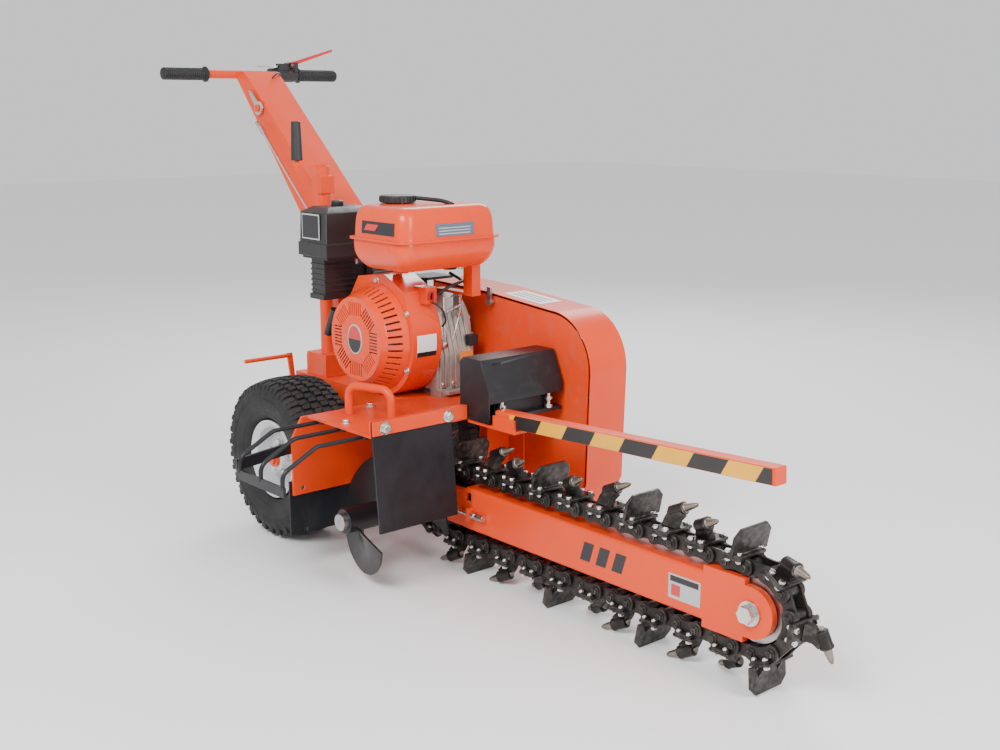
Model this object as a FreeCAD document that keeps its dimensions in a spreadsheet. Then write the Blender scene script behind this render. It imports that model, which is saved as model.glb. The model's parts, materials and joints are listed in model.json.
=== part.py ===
import FreeCAD, Part
import math
import os
import re
import Sketcher

# Walk-behind trencher. Millimetres, +X towards the boom's nose, +Y towards the belt guard, +Z up.
# Sizes are laid out from the wheel axle (x = 0), the handlebar's middle plane (y = 0) and the ground
# (z = 0). The last step moves every sub-part so that the origin is the bottom centre of the whole.

DIMS = {
    # wheels and axle
    "axle_z": 184.0, "tyre_radius": 184.0, "tyre_width": 148.0, "wheel_y": 227.0, "rim_radius": 88.0,
    "rim_width": 120.0, "axle_radius": 12.5, "hub_radius": 28.0, "hub_length": 96.0,
    # deck and frame
    "deck_top": 345.0, "deck_thick": 5.0, "deck_front_x": 488.0, "deck_step_x": 262.0,
    "deck_rear_x": -150.0, "deck_left_y": -350.0, "deck_right_y": 98.0, "deck_neck_y": -122.0,
    "lip_height": 28.0, "lip_right_y": -114.0, "rail_width": 30.0, "rail_height": 60.0,
    "rear_plate_x": 240.0, "plate_thick": 6.0, "rear_plate_left_y": -380.0,
    "rear_plate_right_y": -124.0, "rear_plate_low_z": 173.0, "flap_thick": 5.0, "flap_low_z": 84.0,
    "front_flap_low_z": 150.0, "flap_lean": 20.0, "strip_thick": 5.0,
    # lift handle and auger guard
    "handle_tube_radius": 9.0, "handle_rise": 62.0, "guard_rod_radius": 4.5, "guard_reach_y": -524.0,
    # handle column and bar
    "column_width": 100.0, "column_wall": 4.0, "mast_side": 60.0, "mast_x": -125.0, "bar_x": -512.0,
    "bar_z": 1053.0, "bar_radius": 10.5, "bar_wall": 2.5, "bar_half": 250.0, "grip_length": 122.0,
    "grip_radius": 15.0,
    # wheel jack and carriage
    "jack_x": -70.0, "jack_y": -80.0, "jack_radius": 16.0, "jack_wall": 3.0, "jack_top_z": 838.0,
    "jack_low_z": 352.0, "ram_radius": 11.0, "crank_reach": 78.0, "crank_grip_length": 90.0,
    "pivot_x": 140.0, "pivot_z": 262.0,
    # engine
    "crank_x": 194.0, "crank_z": 477.0, "recoil_y": -180.0, "recoil_radius": 93.0,
    "drum_radius": 120.0, "shroud_radius": 132.0, "shroud_front_y": -150.0, "shroud_back_y": -42.0,
    "crankcase_back_y": 60.0, "cover_face_y": 86.0, "crank_radius": 12.7, "sheet_wall": 3.0,
    "tank_x": 300.0, "tank_y": -67.0, "tank_length": 198.0, "tank_width": 268.0, "tank_seam_z": 703.0,
    "tank_low_z": 640.0, "tank_top_z": 772.0, "cap_radius": 38.0,
    # drive train
    "guard_y": 100.0, "guard_width": 108.0, "guard_wall": 2.0, "jackshaft_x": 520.0,
    "jackshaft_z": 430.0, "drive_pulley_radius": 42.0, "driven_pulley_radius": 100.0,
    "belt_height": 9.0, "pulley_width": 38.0, "belt_plane_y": 123.0, "final_plane_y": 172.0,
    "small_pulley_radius": 34.0, "final_pulley_radius": 74.0, "shaft_radius": 17.5, "cover_left_y": -112.0,
    # boom and digging chain
    "chain_pitch": 41.4, "boom_z": 143.0, "boom_y": -70.0, "sprocket_x": 380.0, "boom_height": 92.0,
    "boom_width": 60.0, "boom_wall": 5.0, "boom_root_x": 474.0, "link_height": 30.0,
    "roller_radius": 10.5, "pin_radius": 6.0, "link_inner": 26.0, "link_thick": 5.0,
    "scraper_width": 96.0, "scraper_height": 52.0, "tooth_height": 68.0, "nose_roller_radius": 58.0,
    # auger
    "auger_radius": 120.0, "auger_left_y": -345.0, "auger_right_y": -150.0, "flight_thick": 5.0,
    "auger_tube_radius": 26.0,
    # hazard bar
    "bar_side": 31.0, "bar_root_x": 572.0, "bar_tip_x": 1268.0, "hazard_z": 341.5,
    "hazard_rise": 2.6,
    # fasteners
    "bolt_radius": 5.0, "clearance": 0.5, "running_gap": 0.05,
    # position of the layout's axes in the part's own frame
    "shift_x": 0.0, "shift_y": 0.0,
}
SPROCKET_TEETH = 11
CHAIN_LINKS = 52
D = dict(DIMS)

doc = FreeCAD.newDocument("trencher")
sheet = doc.addObject("Spreadsheet::Sheet", "Dims")
for row, (alias, number) in enumerate(DIMS.items(), start=1):
    sheet.set(f"A{row}", alias)
    sheet.set(f"B{row}", str(number))
    sheet.setAlias(f"B{row}", alias)
doc.recompute()

NODES = []
FASTENERS = []     # bolts, pins and screws of the frame, gathered into one sub-part
V = FreeCAD.Vector
ALONG_Y = FreeCAD.Rotation(V(1, 0, 0), -90)
ALONG_X = FreeCAD.Rotation(V(0, 1, 0), 90)
UPRIGHT = FreeCAD.Rotation()


def dims(text):
    """Turns the names in an expression into cells of the sheet."""
    return re.sub(r"[a-z][a-z_0-9]*", lambda m: "Dims." + m.group(0) if m.group(0) in D else m.group(0),
                  str(text))


def place(obj, x, y, z, rotation=UPRIGHT):
    """Binds an object's position to the sheet."""
    obj.Placement = FreeCAD.Placement(V(0, 0, 0), rotation)
    for axis, text in zip("xyz", (f"{x} + shift_x", f"{y} + shift_y", z)):
        obj.setExpression(f"Placement.Base.{axis}", dims(text))
    return obj


def bound(kind, name, sizes, at, rotation=UPRIGHT):
    obj = doc.addObject(kind, name)
    for prop, text in sizes.items():
        obj.setExpression(prop, dims(text))
    return place(obj, *at, rotation)


def box(name, at, size):
    return bound("Part::Box", name, dict(zip(("Length", "Width", "Height"), size)), at)


def rod(name, radius, length, at, rotation=ALONG_Y):
    return bound("Part::Cylinder", name, {"Radius": radius, "Height": length}, at, rotation)


def cut(name, base, tools):
    for count, tool in enumerate(tools):
        last = doc.addObject("Part::Cut", name if count == len(tools) - 1 else f"{name}_cut{count}")
        last.Base, last.Tool, base = base, tool, last
    return last


def fuse(name, shapes):
    obj = doc.addObject("Part::MultiFuse", name)
    obj.Shapes = shapes
    return obj


def finish(obj, label):
    """Names a finished sub-part and puts it on the list of nodes."""
    obj.Label = label
    NODES.append(obj)
    return obj


def feature(label, shape):
    """A sub-part whose shape comes from Part's own functions, in the layout's axes."""
    obj = doc.addObject("Part::Feature", label + "_piece")
    obj.Shape = shape
    obj.Placement = FreeCAD.Placement(V(D["shift_x"], D["shift_y"], 0), FreeCAD.Rotation())
    return finish(obj, label)


def solid_box(x0, x1, y0, y1, z0, z1):
    return Part.makeBox(x1 - x0, y1 - y0, z1 - z0, V(x0, y0, z0))


def solid_rod(radius, start, end):
    line = V(*end) - V(*start)
    return Part.makeCylinder(radius, line.Length, V(*start), line)


def prism_y(points, y0, y1):
    """A flat outline in X and Z, given thickness along Y."""
    wire = Part.makePolygon([V(x, y0, z) for x, z in points] + [V(points[0][0], y0, points[0][1])])
    return Part.Face(wire).extrude(V(0, y1 - y0, 0))


def prism_x(points, x0, x1):
    wire = Part.makePolygon([V(x0, y, z) for y, z in points] + [V(x0, points[0][0], points[0][1])])
    return Part.Face(wire).extrude(V(x1 - x0, 0, 0))


def prism_z(points, z0, z1):
    wire = Part.makePolygon([V(x, y, z0) for x, y in points] + [V(points[0][0], points[0][1], z0)])
    return Part.Face(wire).extrude(V(0, 0, z1 - z0))


def join(shapes):
    return shapes[0].multiFuse(shapes[1:]).removeSplitter()


def group(shapes):
    return Part.makeCompound(shapes)


def tangent_path(points, factor=0.45, largest=1e9):
    """Straight runs joined by tangent arcs, each arc as large as its two runs allow."""
    points = [V(*p) for p in points]
    edges, start = [], points[0]
    for before, corner, after in zip(points, points[1:], points[2:]):
        a, b = (before - corner), (after - corner)
        turn = math.pi - a.getAngle(b)
        back = min(factor * min(a.Length, b.Length), largest * math.tan(turn / 2))
        a.normalize()
        b.normalize()
        first, last = corner + a * back, corner + b * back
        radius = back / math.tan(turn / 2)
        middle = (a + b).normalize()
        centre = corner + middle * math.hypot(back, radius)
        edges.append(Part.LineSegment(start, first).toShape())
        edges.append(Part.Arc(first, centre - middle * radius, last).toShape())
        start = last
    edges.append(Part.LineSegment(start, points[-1]).toShape())
    return Part.Wire(edges)


def tube_along(points, radius, largest=1e9):
    path = tangent_path(points, largest=largest)
    start, nxt = V(*points[0]), V(*points[1])
    section = Part.Wire([Part.makeCircle(radius, start, nxt - start)])
    return path.makePipeShell([section], True, False)


# ---------------------------------------------------------------- sketches and bodies

PLANES = {"xy": "XY_Plane", "xz": "XZ_Plane", "yz": "YZ_Plane"}


def new_body(name):
    return doc.addObject("PartDesign::Body", name)


def sketch_on(body, name, plane, offset="0"):
    sketch = body.newObject("Sketcher::SketchObject", name)
    origin = [f for f in body.Origin.OriginFeatures if f.Role == PLANES[plane]][0]
    sketch.AttachmentSupport = [(origin, "")]
    sketch.MapMode = "FlatFace"
    sketch.setExpression("AttachmentOffset.Base.z", dims(offset))
    return sketch


def value_of(text):
    """The present value of an expression, read through a spare cell."""
    sheet.set("D1", "=" + str(text))
    sheet.recompute()
    number = float(sheet.get("D1"))
    sheet.clear("D1")
    return number


def pin_point(sketch, geo, pos, axis, text):
    """Holds one coordinate of a point with a constraint bound to the sheet."""
    kind = "DistanceX" if axis == 0 else "DistanceY"
    number = value_of(text)
    if abs(number) < 1e-9:
        sketch.addConstraint(Sketcher.Constraint("PointOnObject", geo, pos, -2 if axis == 0 else -1))
        return
    if number > 0:
        index = sketch.addConstraint(Sketcher.Constraint(kind, -1, 1, geo, pos, number))
        sketch.setExpression(f"Constraints[{index}]", dims(text))
    else:
        index = sketch.addConstraint(Sketcher.Constraint(kind, geo, pos, -1, 1, -number))
        sketch.setExpression(f"Constraints[{index}]", dims(f"-({text})"))


def outline(sketch, corners):
    """A closed outline of straight lines whose corners are bound to the sheet."""
    first = sketch.GeometryCount
    values = [V(value_of(a), value_of(b), 0) for a, b in corners]
    count = len(values)
    for i in range(count):
        sketch.addGeometry(Part.LineSegment(values[i], values[(i + 1) % count]), False)
    for i in range(count):
        sketch.addConstraint(Sketcher.Constraint("Coincident", first + i, 2, first + (i + 1) % count, 1))
    for i, (a, b) in enumerate(corners):
        pin_point(sketch, first + i, 1, 0, a)
        pin_point(sketch, first + i, 1, 1, b)


def hole_circle(sketch, a, b, radius):
    index = sketch.GeometryCount
    sketch.addGeometry(Part.Circle(V(value_of(a), value_of(b), 0), V(0, 0, 1), value_of(radius)), False)
    count = sketch.addConstraint(Sketcher.Constraint("Radius", index, value_of(radius)))
    sketch.setExpression(f"Constraints[{count}]", dims(radius))
    pin_point(sketch, index, 3, 0, a)
    pin_point(sketch, index, 3, 1, b)


def pad(body, name, sketch, length, midplane=False, reverse=False):
    feat = body.newObject("PartDesign::Pad", name)
    feat.Profile = sketch
    feat.Midplane = midplane
    feat.Reversed = reverse
    feat.setExpression("Length", dims(length))
    return feat


def revolve(body, name, sketch, axis="X_Axis"):
    feat = body.newObject("PartDesign::Revolution", name)
    feat.Profile = sketch
    line = [f for f in body.Origin.OriginFeatures if f.Role == axis][0]
    feat.ReferenceAxis = (line, [""])
    feat.Angle = 360.0
    return feat


def turned(label, profile, at, rotation=UPRIGHT):
    """A turned piece: a profile of (along, radius) points spun round the body's own X axis."""
    body = new_body(label)
    sketch = sketch_on(body, label + "_profile", "xy")
    outline(sketch, profile)
    revolve(body, label + "_turning", sketch)
    place(body, *at, rotation)
    return body


X_TO_Y = FreeCAD.Rotation(V(0, 0, 1), 90)      # a turned piece's X axis onto +Y
X_TO_MINUS_Y = FreeCAD.Rotation(V(0, 0, 1), -90)


# ---------------------------------------------------------------- deck and frame

def make_main_deck():
    """Deck plate with its neck between the wheels and a lip turned up along the front."""
    body = new_body("main_deck")
    plate = sketch_on(body, "deck_outline", "xy", "deck_top - deck_thick")
    outline(plate, [("deck_step_x", "deck_left_y"), ("deck_front_x", "deck_left_y"),
                    ("deck_front_x", "deck_right_y"), ("deck_rear_x", "deck_right_y"),
                    ("deck_rear_x", "deck_neck_y"), ("deck_step_x", "deck_neck_y")])
    for dx, dy in ((-85, -34), (-85, 46), (102, -34), (102, 46)):
        hole_circle(plate, f"crank_x + {dx}", str(dy), "bolt_radius")
    hole_circle(plate, "jack_x", "jack_y", "ram_radius + 8")
    pad(body, "deck_plate", plate, "deck_thick")
    lip = sketch_on(body, "lip_outline", "xy", "deck_top - 1")
    outline(lip, [("deck_front_x - deck_thick", "deck_left_y"), ("deck_front_x", "deck_left_y"),
                  ("deck_front_x", "lip_right_y"), ("deck_front_x - deck_thick", "lip_right_y")])
    pad(body, "deck_lip", lip, "lip_height + 1")
    place(body, "0", "0", "0")
    finish(body, "main_deck")


def make_frame_rails():
    parts = []
    rails = (("rail_a", "deck_neck_y"), ("rail_b", "deck_right_y - rail_width"))
    for name, y in rails:
        outer = box(name + "_outer", ("deck_rear_x", y, "deck_top - deck_thick - rail_height"),
                    ("deck_step_x - deck_rear_x - 22", "rail_width", "rail_height"))
        inner = box(name + "_inner", ("deck_rear_x - 1", f"{y} + 3", "deck_top - deck_thick - rail_height + 3"),
                    ("deck_step_x - deck_rear_x - 20", "rail_width - 6", "rail_height - 6"))
        parts.append(cut(name, outer, [inner]))
        lug = box(name + "_lug", ("pivot_x - 22", y, "pivot_z - 22"),
                  ("44", "rail_width", "deck_top - deck_thick - rail_height + 3 - pivot_z + 22"))
        bore = rod(name + "_bore", "12", "rail_width + 2", ("pivot_x", f"{y} - 1", "pivot_z"))
        parts.append(cut(name + "_hanger", lug, [bore]))
    parts.append(box("cross_member", ("deck_rear_x", "deck_neck_y + rail_width",
                                      "deck_top - deck_thick - rail_height"),
                     ("30", "deck_right_y - deck_neck_y - 2*rail_width", "rail_height")))
    finish(fuse("frame_rails_join", parts), "frame_rails")


def make_rear_plate():
    """Upright plate behind the auger, its upper outer corner cut off."""
    body = new_body("rear_plate")
    face = sketch_on(body, "rear_plate_outline", "yz", "rear_plate_x")
    outline(face, [("rear_plate_left_y", "rear_plate_low_z"), ("rear_plate_right_y", "rear_plate_low_z"),
                   ("rear_plate_right_y", "deck_top - deck_thick"),
                   ("rear_plate_left_y + 26", "deck_top - deck_thick"),
                   ("rear_plate_left_y", "deck_top - deck_thick - 44")])
    hole_circle(face, "rear_plate_left_y + 24", "rear_plate_low_z + 14", "bolt_radius")
    pad(body, "rear_plate_pad", face, "plate_thick")
    place(body, "0", "0", "0")
    finish(body, "rear_plate")


def make_rear_flap():
    """Rubber curtain hung behind the rear plate, with a slit in its lower edge."""
    body = new_body("rear_flap")
    face = sketch_on(body, "rear_flap_outline", "yz", "rear_plate_x - flap_thick")
    left, low = "rear_plate_left_y - 6", "flap_low_z"
    outline(face, [(left, low), (f"{left} + 30", low), (f"{left} + 30", f"{low} + 12"),
                   (f"{left} + 42", f"{low} + 12"), (f"{left} + 42", low), ("rear_plate_left_y + 150", low),
                   ("rear_plate_left_y + 150", "rear_plate_low_z + 30"), (left, "rear_plate_low_z + 30")])
    hole_circle(face, "rear_plate_left_y + 24", "rear_plate_low_z + 14", "bolt_radius")
    pad(body, "rear_flap_pad", face, "flap_thick")
    place(body, "0", "0", "0")
    finish(body, "rear_flap")


def make_front_flap():
    """Rubber curtain clamped to the deck's lip; it leans forward towards its lower edge."""
    x = D["deck_front_x"]
    t = D["flap_thick"]
    top, bend, low = D["deck_top"] + D["lip_height"], D["deck_top"] - 6, D["front_flap_low_z"]
    side = [(x, top), (x + t, top), (x + t, bend), (x + t + D["flap_lean"], low), (x + D["flap_lean"], low),
            (x, bend)]
    hang = prism_y(side, D["deck_left_y"] + 2, -152)
    bolts = [solid_rod(D["bolt_radius"] + 0.3, (x - 1, y, D["deck_top"] + 14), (x + t + 1, y, D["deck_top"] + 14))
             for y in STRIP_BOLTS_Y]
    feature("front_flap", hang.cut(bolts))


def make_front_strip():
    plate = box("strip_plate", ("deck_front_x + flap_thick", "deck_left_y", "deck_top + 1"),
                ("strip_thick", "lip_right_y - deck_left_y", "lip_height"))
    holes = [rod(f"strip_hole_{i}", "bolt_radius + 0.3", "strip_thick + 2",
                 ("deck_front_x + flap_thick - 1", str(y), "deck_top + 14"), ALONG_X)
             for i, y in enumerate(STRIP_BOLTS_Y)]
    finish(cut("strip_cut", plate, holes), "front_clamp_strip")


def make_lift_handle():
    top = D["deck_top"]
    foot_a, foot_b = (305, -275), (408, -241)
    points = [(*foot_a, top), (*foot_a, top + D["handle_rise"]), (*foot_b, top + D["handle_rise"]), (*foot_b, top)]
    feature("lift_handle", tube_along(points, D["handle_tube_radius"], largest=24.0))


def make_auger_guard():
    """Three bent rods from under the deck's edge down to a flat bar, braced by a strap."""
    r = D["guard_rod_radius"]
    z = D["deck_top"] - D["deck_thick"] - r
    edge, reach = D["deck_left_y"], D["guard_reach_y"]
    low = z - 75
    pieces = []
    for x in GUARD_RODS_X:
        points = [(x, edge + 10, z), (x, edge - 100, z - 1), (x - 6, reach, z - 44), (x - 6, reach - 1, low)]
        pieces.append(tube_along(points, r, largest=26.0))
        pieces.append(solid_rod(9, (x, edge + 14, z - r), (x, edge + 14, z + r)))
    first, last = GUARD_RODS_X[0] - 12, GUARD_RODS_X[-1] + 2
    pieces.append(solid_box(first, last, reach - 4, reach + 2, low - 14, low + 6))
    x, level = D["rear_plate_x"], low + 14
    strap = prism_z([(x - 8, -300), (x - 2, -300), (x - 2, -388), (first, reach - 4),
                     (first - 6, reach - 4), (x - 8, -391)], level - 12, level + 12)
    feature("auger_guard", group([join(pieces), strap]))


STRIP_BOLTS_Y = (-322, -164)
GUARD_RODS_X = (290, 370, 450)


# ---------------------------------------------------------------- handle column and bar

def make_handle_column():
    """Welded box that tapers up to the bar, on an upright square mast."""
    w = D["column_width"] / 2
    wall = D["column_wall"]
    x, z, mx = D["bar_x"], D["bar_z"], D["mast_x"]
    side = [(x - 8, z + 8), (x + 40, z + 8), (x + 70, z - 14), (mx + 32, 735), (mx + 32, 690),
            (mx - 32, 660), (mx - 78, 700)]
    inner = [(x + 6, z + 4), (x + 38, z + 4), (x + 66, z - 16), (mx + 28, 733), (mx + 28, 693),
             (mx - 31, 665), (mx - 74, 702)]
    column = prism_y(side, -w, w).cut(prism_y(inner, -w + wall, w - wall))
    m = D["mast_side"] / 2
    mast = solid_box(mx - m, mx + m, -m, m, D["deck_top"], 700)
    mast = mast.cut(solid_box(mx - m + wall, mx + m - wall, -m + wall, m - wall, D["deck_top"] - 1, 680))
    bar_hole = solid_rod(D["bar_radius"] + 0.1, (x, -w - 1, z), (x, w + 1, z))
    px, pz = CLUTCH_AT
    mount = join([solid_box(px - 18, px + 18, -w - 1.0, -w, pz - 18, pz + 18),
                  solid_rod(6, (px, -w - 14, pz), (px, -w - 0.5, pz)), solid_rod(9, (px, -w - 14, pz), (px, -w - 10.6, pz))])
    gx, gy, gz = CLUTCH_CABLE[-1]
    guide = solid_box(gx - 9, gx + 9, gy - 6, -w + 1, gz - 20, gz - 2)
    feature("handle_column", join([column, mast, mount, guide]).cut(bar_hole))


def make_handlebar():
    length = "2*bar_half"
    outer = rod("bar_outer", "bar_radius", length, ("bar_x", "-bar_half", "bar_z"))
    inner = rod("bar_inner", "bar_radius - bar_wall", f"{length} + 2", ("bar_x", "-bar_half - 1", "bar_z"))
    finish(cut("handlebar_cut", outer, [inner]), "handlebar")


def make_grips():
    """Two ribbed rubber grips with a collar at the inner end."""
    grips = []
    for side, spin in ((1, X_TO_Y), (-1, X_TO_MINUS_Y)):
        start = "bar_half - grip_length + 3"
        profile = [("0", "bar_radius + 0.1"), ("grip_length - 3", "bar_radius + 0.1"), ("grip_length - 3", "4"),
                   ("grip_length", "4"), ("grip_length", "grip_radius - 3"), ("grip_length - 4", "grip_radius"),
                   ("9", "grip_radius"), ("7", "grip_radius + 4.5"), ("2", "grip_radius + 4.5"),
                   ("0", "grip_radius + 1")]
        name = "grip_left_piece" if side > 0 else "grip_right_piece"
        y = start if side > 0 else f"-({start})"
        grips.append(turned(name, profile, ("bar_x", y, "bar_z"), spin))
    finish(grips[0], "grip_left")
    finish(grips[1], "grip_right")


def make_levers():
    """Perch, hand lever and throttle lever beside the belt-side grip."""
    x, z, r = D["bar_x"], D["bar_z"], D["bar_radius"]
    perch_y0, perch_y1 = 50.5, 118.0
    body = solid_rod(r + 7, (x, perch_y0, z), (x, perch_y1, z))
    top = solid_box(x - 10, x + 10, perch_y0 + 20, perch_y1 - 2, z + 8, z + 30)
    knob = solid_rod(8, (x + 8, perch_y0 + 14, z), (x + 30, perch_y0 + 14, z))
    perch = join([body, top, knob]).cut(solid_rod(r + 0.1, (x, 0, z), (x, 200, z)))
    perch = perch.cut(solid_box(x - 20, x + 20, perch_y1 - 14, perch_y1 + 1, z + 8, z + 40))
    perch = perch.cut(solid_box(x - 20, x + 20, perch_y0 - 1, perch_y0 + 26, z + 19, z + 40))

    pin = solid_rod(3.5, (x - 16, 112, z + 27), (x + 16, 112, z + 27))
    arm = [(118.5, z + 24), (246, z + 64), (245, z + 70), (118, z + 34), (106, z + 33), (106, z + 21)]
    blade = prism_x(arm, x - 3, x + 3)
    boss = solid_rod(7.5, (x - 7, 112, z + 27), (x + 7, 112, z + 27))
    feature("hand_lever", join([blade, boss, pin]))
    collar = solid_rod(r + 6, (x, 118.6, z), (x, 129.6, z)).cut(solid_rod(r + 0.1, (x, 100, z), (x, 140, z)))
    ears = [solid_box(x + s * 12 - 3.5, x + s * 12 + 3.5, 106, 129.6, z + 8, z + 33) for s in (-1, 1)]
    ears = [ear.cut(solid_rod(3.55, (x - 30, 112, z + 27), (x + 30, 112, z + 27))) for ear in ears]
    ears = [ear.cut(solid_rod(r + 0.1, (x, 100, z), (x, 140, z))) for ear in ears]
    ears = [ear.cut(solid_box(x - 30, x + 30, 90, 118.6, z - 20, z + 18.8)) for ear in ears]
    feature("lever_perch", group([perch, join([collar] + ears)]))

    disc = solid_rod(11, (x + 2, 63.5, z + 19.5), (x + 2, 63.5, z + 23.5))
    blade = prism_z([(x - 1, 58), (x + 5, 58), (x + 8, 34), (x + 12, 12), (x + 5, 11), (x - 2, 36)], z + 20.2, z + 23.2)
    feature("throttle_lever", join([disc, blade]))


def make_throttle_cable():
    x, z = D["bar_x"], D["bar_z"]
    points = [(x + 30.5, 64.5, z), (x + 40, 61, z + 1), (x + 52, 50, z + 4), (x + 62, 38, z + 4),
              (x + 68, 27, z - 1), (x + 68, 18, z - 9)]
    sheath = tube_along(points, 2.0)
    feature("throttle_cable", sheath)


def make_clutch_parts():
    """Over-centre clutch lever on the column's side, its clevis, spring and the taut cable."""
    w = D["column_width"] / 2
    y = -w - 1.0
    px, pz = CLUTCH_AT
    disc = solid_rod(17, (px, y - 9, pz), (px, y - 3, pz))
    direction = V(-0.675, 0, 0.738)
    side = V(direction.z, 0, -direction.x)
    base = V(px, 0, pz)
    corners = [base + side * 9, base + direction * 52 + side * 5, base + direction * 62, base + direction * 52 - side * 5,
               base - side * 9]
    blade = prism_y([(c.x, c.z) for c in corners], y - 8, y - 4)
    lever = join([disc, blade]).cut(solid_rod(6.05, (px, y - 30, pz), (px, y + 1, pz)))
    feature("clutch_lever", lever)


def make_clutch_cable():
    """Taut cable from the clutch lever's turnbuckle down to its guide where the column meets the mast."""
    top = V(*CLUTCH_CABLE[0])
    along = (top - V(*CLUTCH_CABLE[1])).normalize()
    clevis = Part.makeBox(8, 9, 18, V(-4, -4.5, 0))
    clevis.Placement = FreeCAD.Placement(top + along * 24, FreeCAD.Rotation(V(0, 0, 1), along))
    FASTENERS.append(join([solid_rod(5, top, top + along * 24), solid_rod(3, top, top + along * 30), clevis]))
    feature("clutch_cable", tube_along(CLUTCH_CABLE, 2.5))


CLUTCH_AT = (-390.0, 969.0)
CLUTCH_CABLE = ((-354, -66, 906), (-243, -61, 794), (-130, -58, 690))      # where the cable runs


# ---------------------------------------------------------------- wheels, carriage and jack

def make_wheels():
    for name, side, spin in (("left", 1, X_TO_Y), ("right", -1, X_TO_MINUS_Y)):
        y = f"{side}*wheel_y" if side > 0 else "-wheel_y"
        half = "rim_width/2"
        rim = [(f"-{half}", "rim_radius - 2"), (f"-{half}", "rim_radius + 2"), (f"-{half} + 5", "rim_radius + 2"),
               (f"-{half} + 9", "rim_radius - 10"), (f"{half} - 9", "rim_radius - 10"), (f"{half} - 5", "rim_radius + 2"),
               (half, "rim_radius + 2"), (half, "rim_radius - 2"), (f"{half} - 8", "rim_radius - 14"),
               ("16", "rim_radius - 16"), ("20", "hub_radius + 22"), ("30", "hub_radius + 6"),
               ("hub_length/2", "hub_radius"), ("hub_length/2", "axle_radius + running_gap"),
               ("-hub_length/2", "axle_radius + running_gap"), ("-hub_length/2", "hub_radius"),
               ("22", "hub_radius"), ("14", "hub_radius + 20"), ("8", "rim_radius - 18"),
               (f"-{half} + 8", "rim_radius - 14")]
        finish(turned(f"rim_{name}_piece", rim, ("0", y, "axle_z"), spin), f"rim_{name}")
        w = "tyre_width/2"
        tyre = [(f"-{half} + 5.5", "rim_radius + 2.3"), (f"-{half} + 9.5", "rim_radius - 9.6"),
                (f"-{half} + 20", "rim_radius - 9.6"), (f"-{w} + 10", "rim_radius + 34"),
                (f"-{w} + 14", "tyre_radius - 16"), (f"{w} - 14", "tyre_radius - 16"),
                (f"{w} - 10", "rim_radius + 34"), (f"{half} - 20", "rim_radius - 9.6"),
                (f"{half} - 9.5", "rim_radius - 9.6"), (f"{half} - 5.5", "rim_radius + 2.3"),
                (f"{w} - 4", "rim_radius + 20"), (w, "rim_radius + 42"), (w, "tyre_radius - 34"),
                (f"{w} - 4", "tyre_radius - 16"), (f"{w} - 14", "tyre_radius - 5"), (f"{w} - 34", "tyre_radius"),
                (f"-{w} + 34", "tyre_radius"), (f"-{w} + 14", "tyre_radius - 5"), (f"-{w} + 4", "tyre_radius - 16"),
                (f"-{w}", "tyre_radius - 34"), (f"-{w}", "rim_radius + 42"), (f"-{w} + 4", "rim_radius + 20")]
        finish(turned(f"tyre_{name}_piece", tyre, ("0", y, "axle_z"), spin), f"tyre_{name}")


def make_carriage():
    """Swinging axle: two arms on a pivot tube, joined behind by a bar that the jack pushes down."""
    px, pz, az = D["pivot_x"], D["pivot_z"], D["axle_z"]
    arms = []
    for y0 in (-64, 40):
        side = [(px - 16, pz - 22), (px + 18, pz - 22), (px + 18, pz + 20), (px - 10, pz + 20), (10, az + 22),
                (-60, az + 34), (-92, az + 34), (-92, az + 4), (-30, az - 20), (16, az - 20)]
        arms.append(prism_y(side, y0, y0 + 12))
    axle = solid_rod(D["axle_radius"], (0, -D["wheel_y"] - 62, az), (0, D["wheel_y"] + 62, az))
    collars = [solid_rod(20, (0, y, az), (0, y + 8, az)) for y in (-D["wheel_y"] + 49.0, D["wheel_y"] - 57.0)]
    bar = solid_box(-94, -58, -104, 52, az + 8, az + 34)
    carriage = join(arms + [axle, bar] + collars)
    carriage = carriage.cut(solid_rod(12 + 0.05, (px, -90, pz), (px, 90, pz)))
    shaft = solid_rod(12, (px, D["deck_neck_y"] - 3, pz), (px, D["deck_right_y"] - 2, pz))
    FASTENERS.append(shaft)
    caps = []
    for s in (1, -1):
        y = s * D["wheel_y"]
        caps.append(solid_rod(19, (0, y + s * 48.5, az), (0, y + s * 56, az)))
    caps = [c.cut(solid_rod(D["axle_radius"], (0, -400, az), (0, 400, az))) for c in caps]
    feature("wheel_carriage", group([carriage] + caps))


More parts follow.
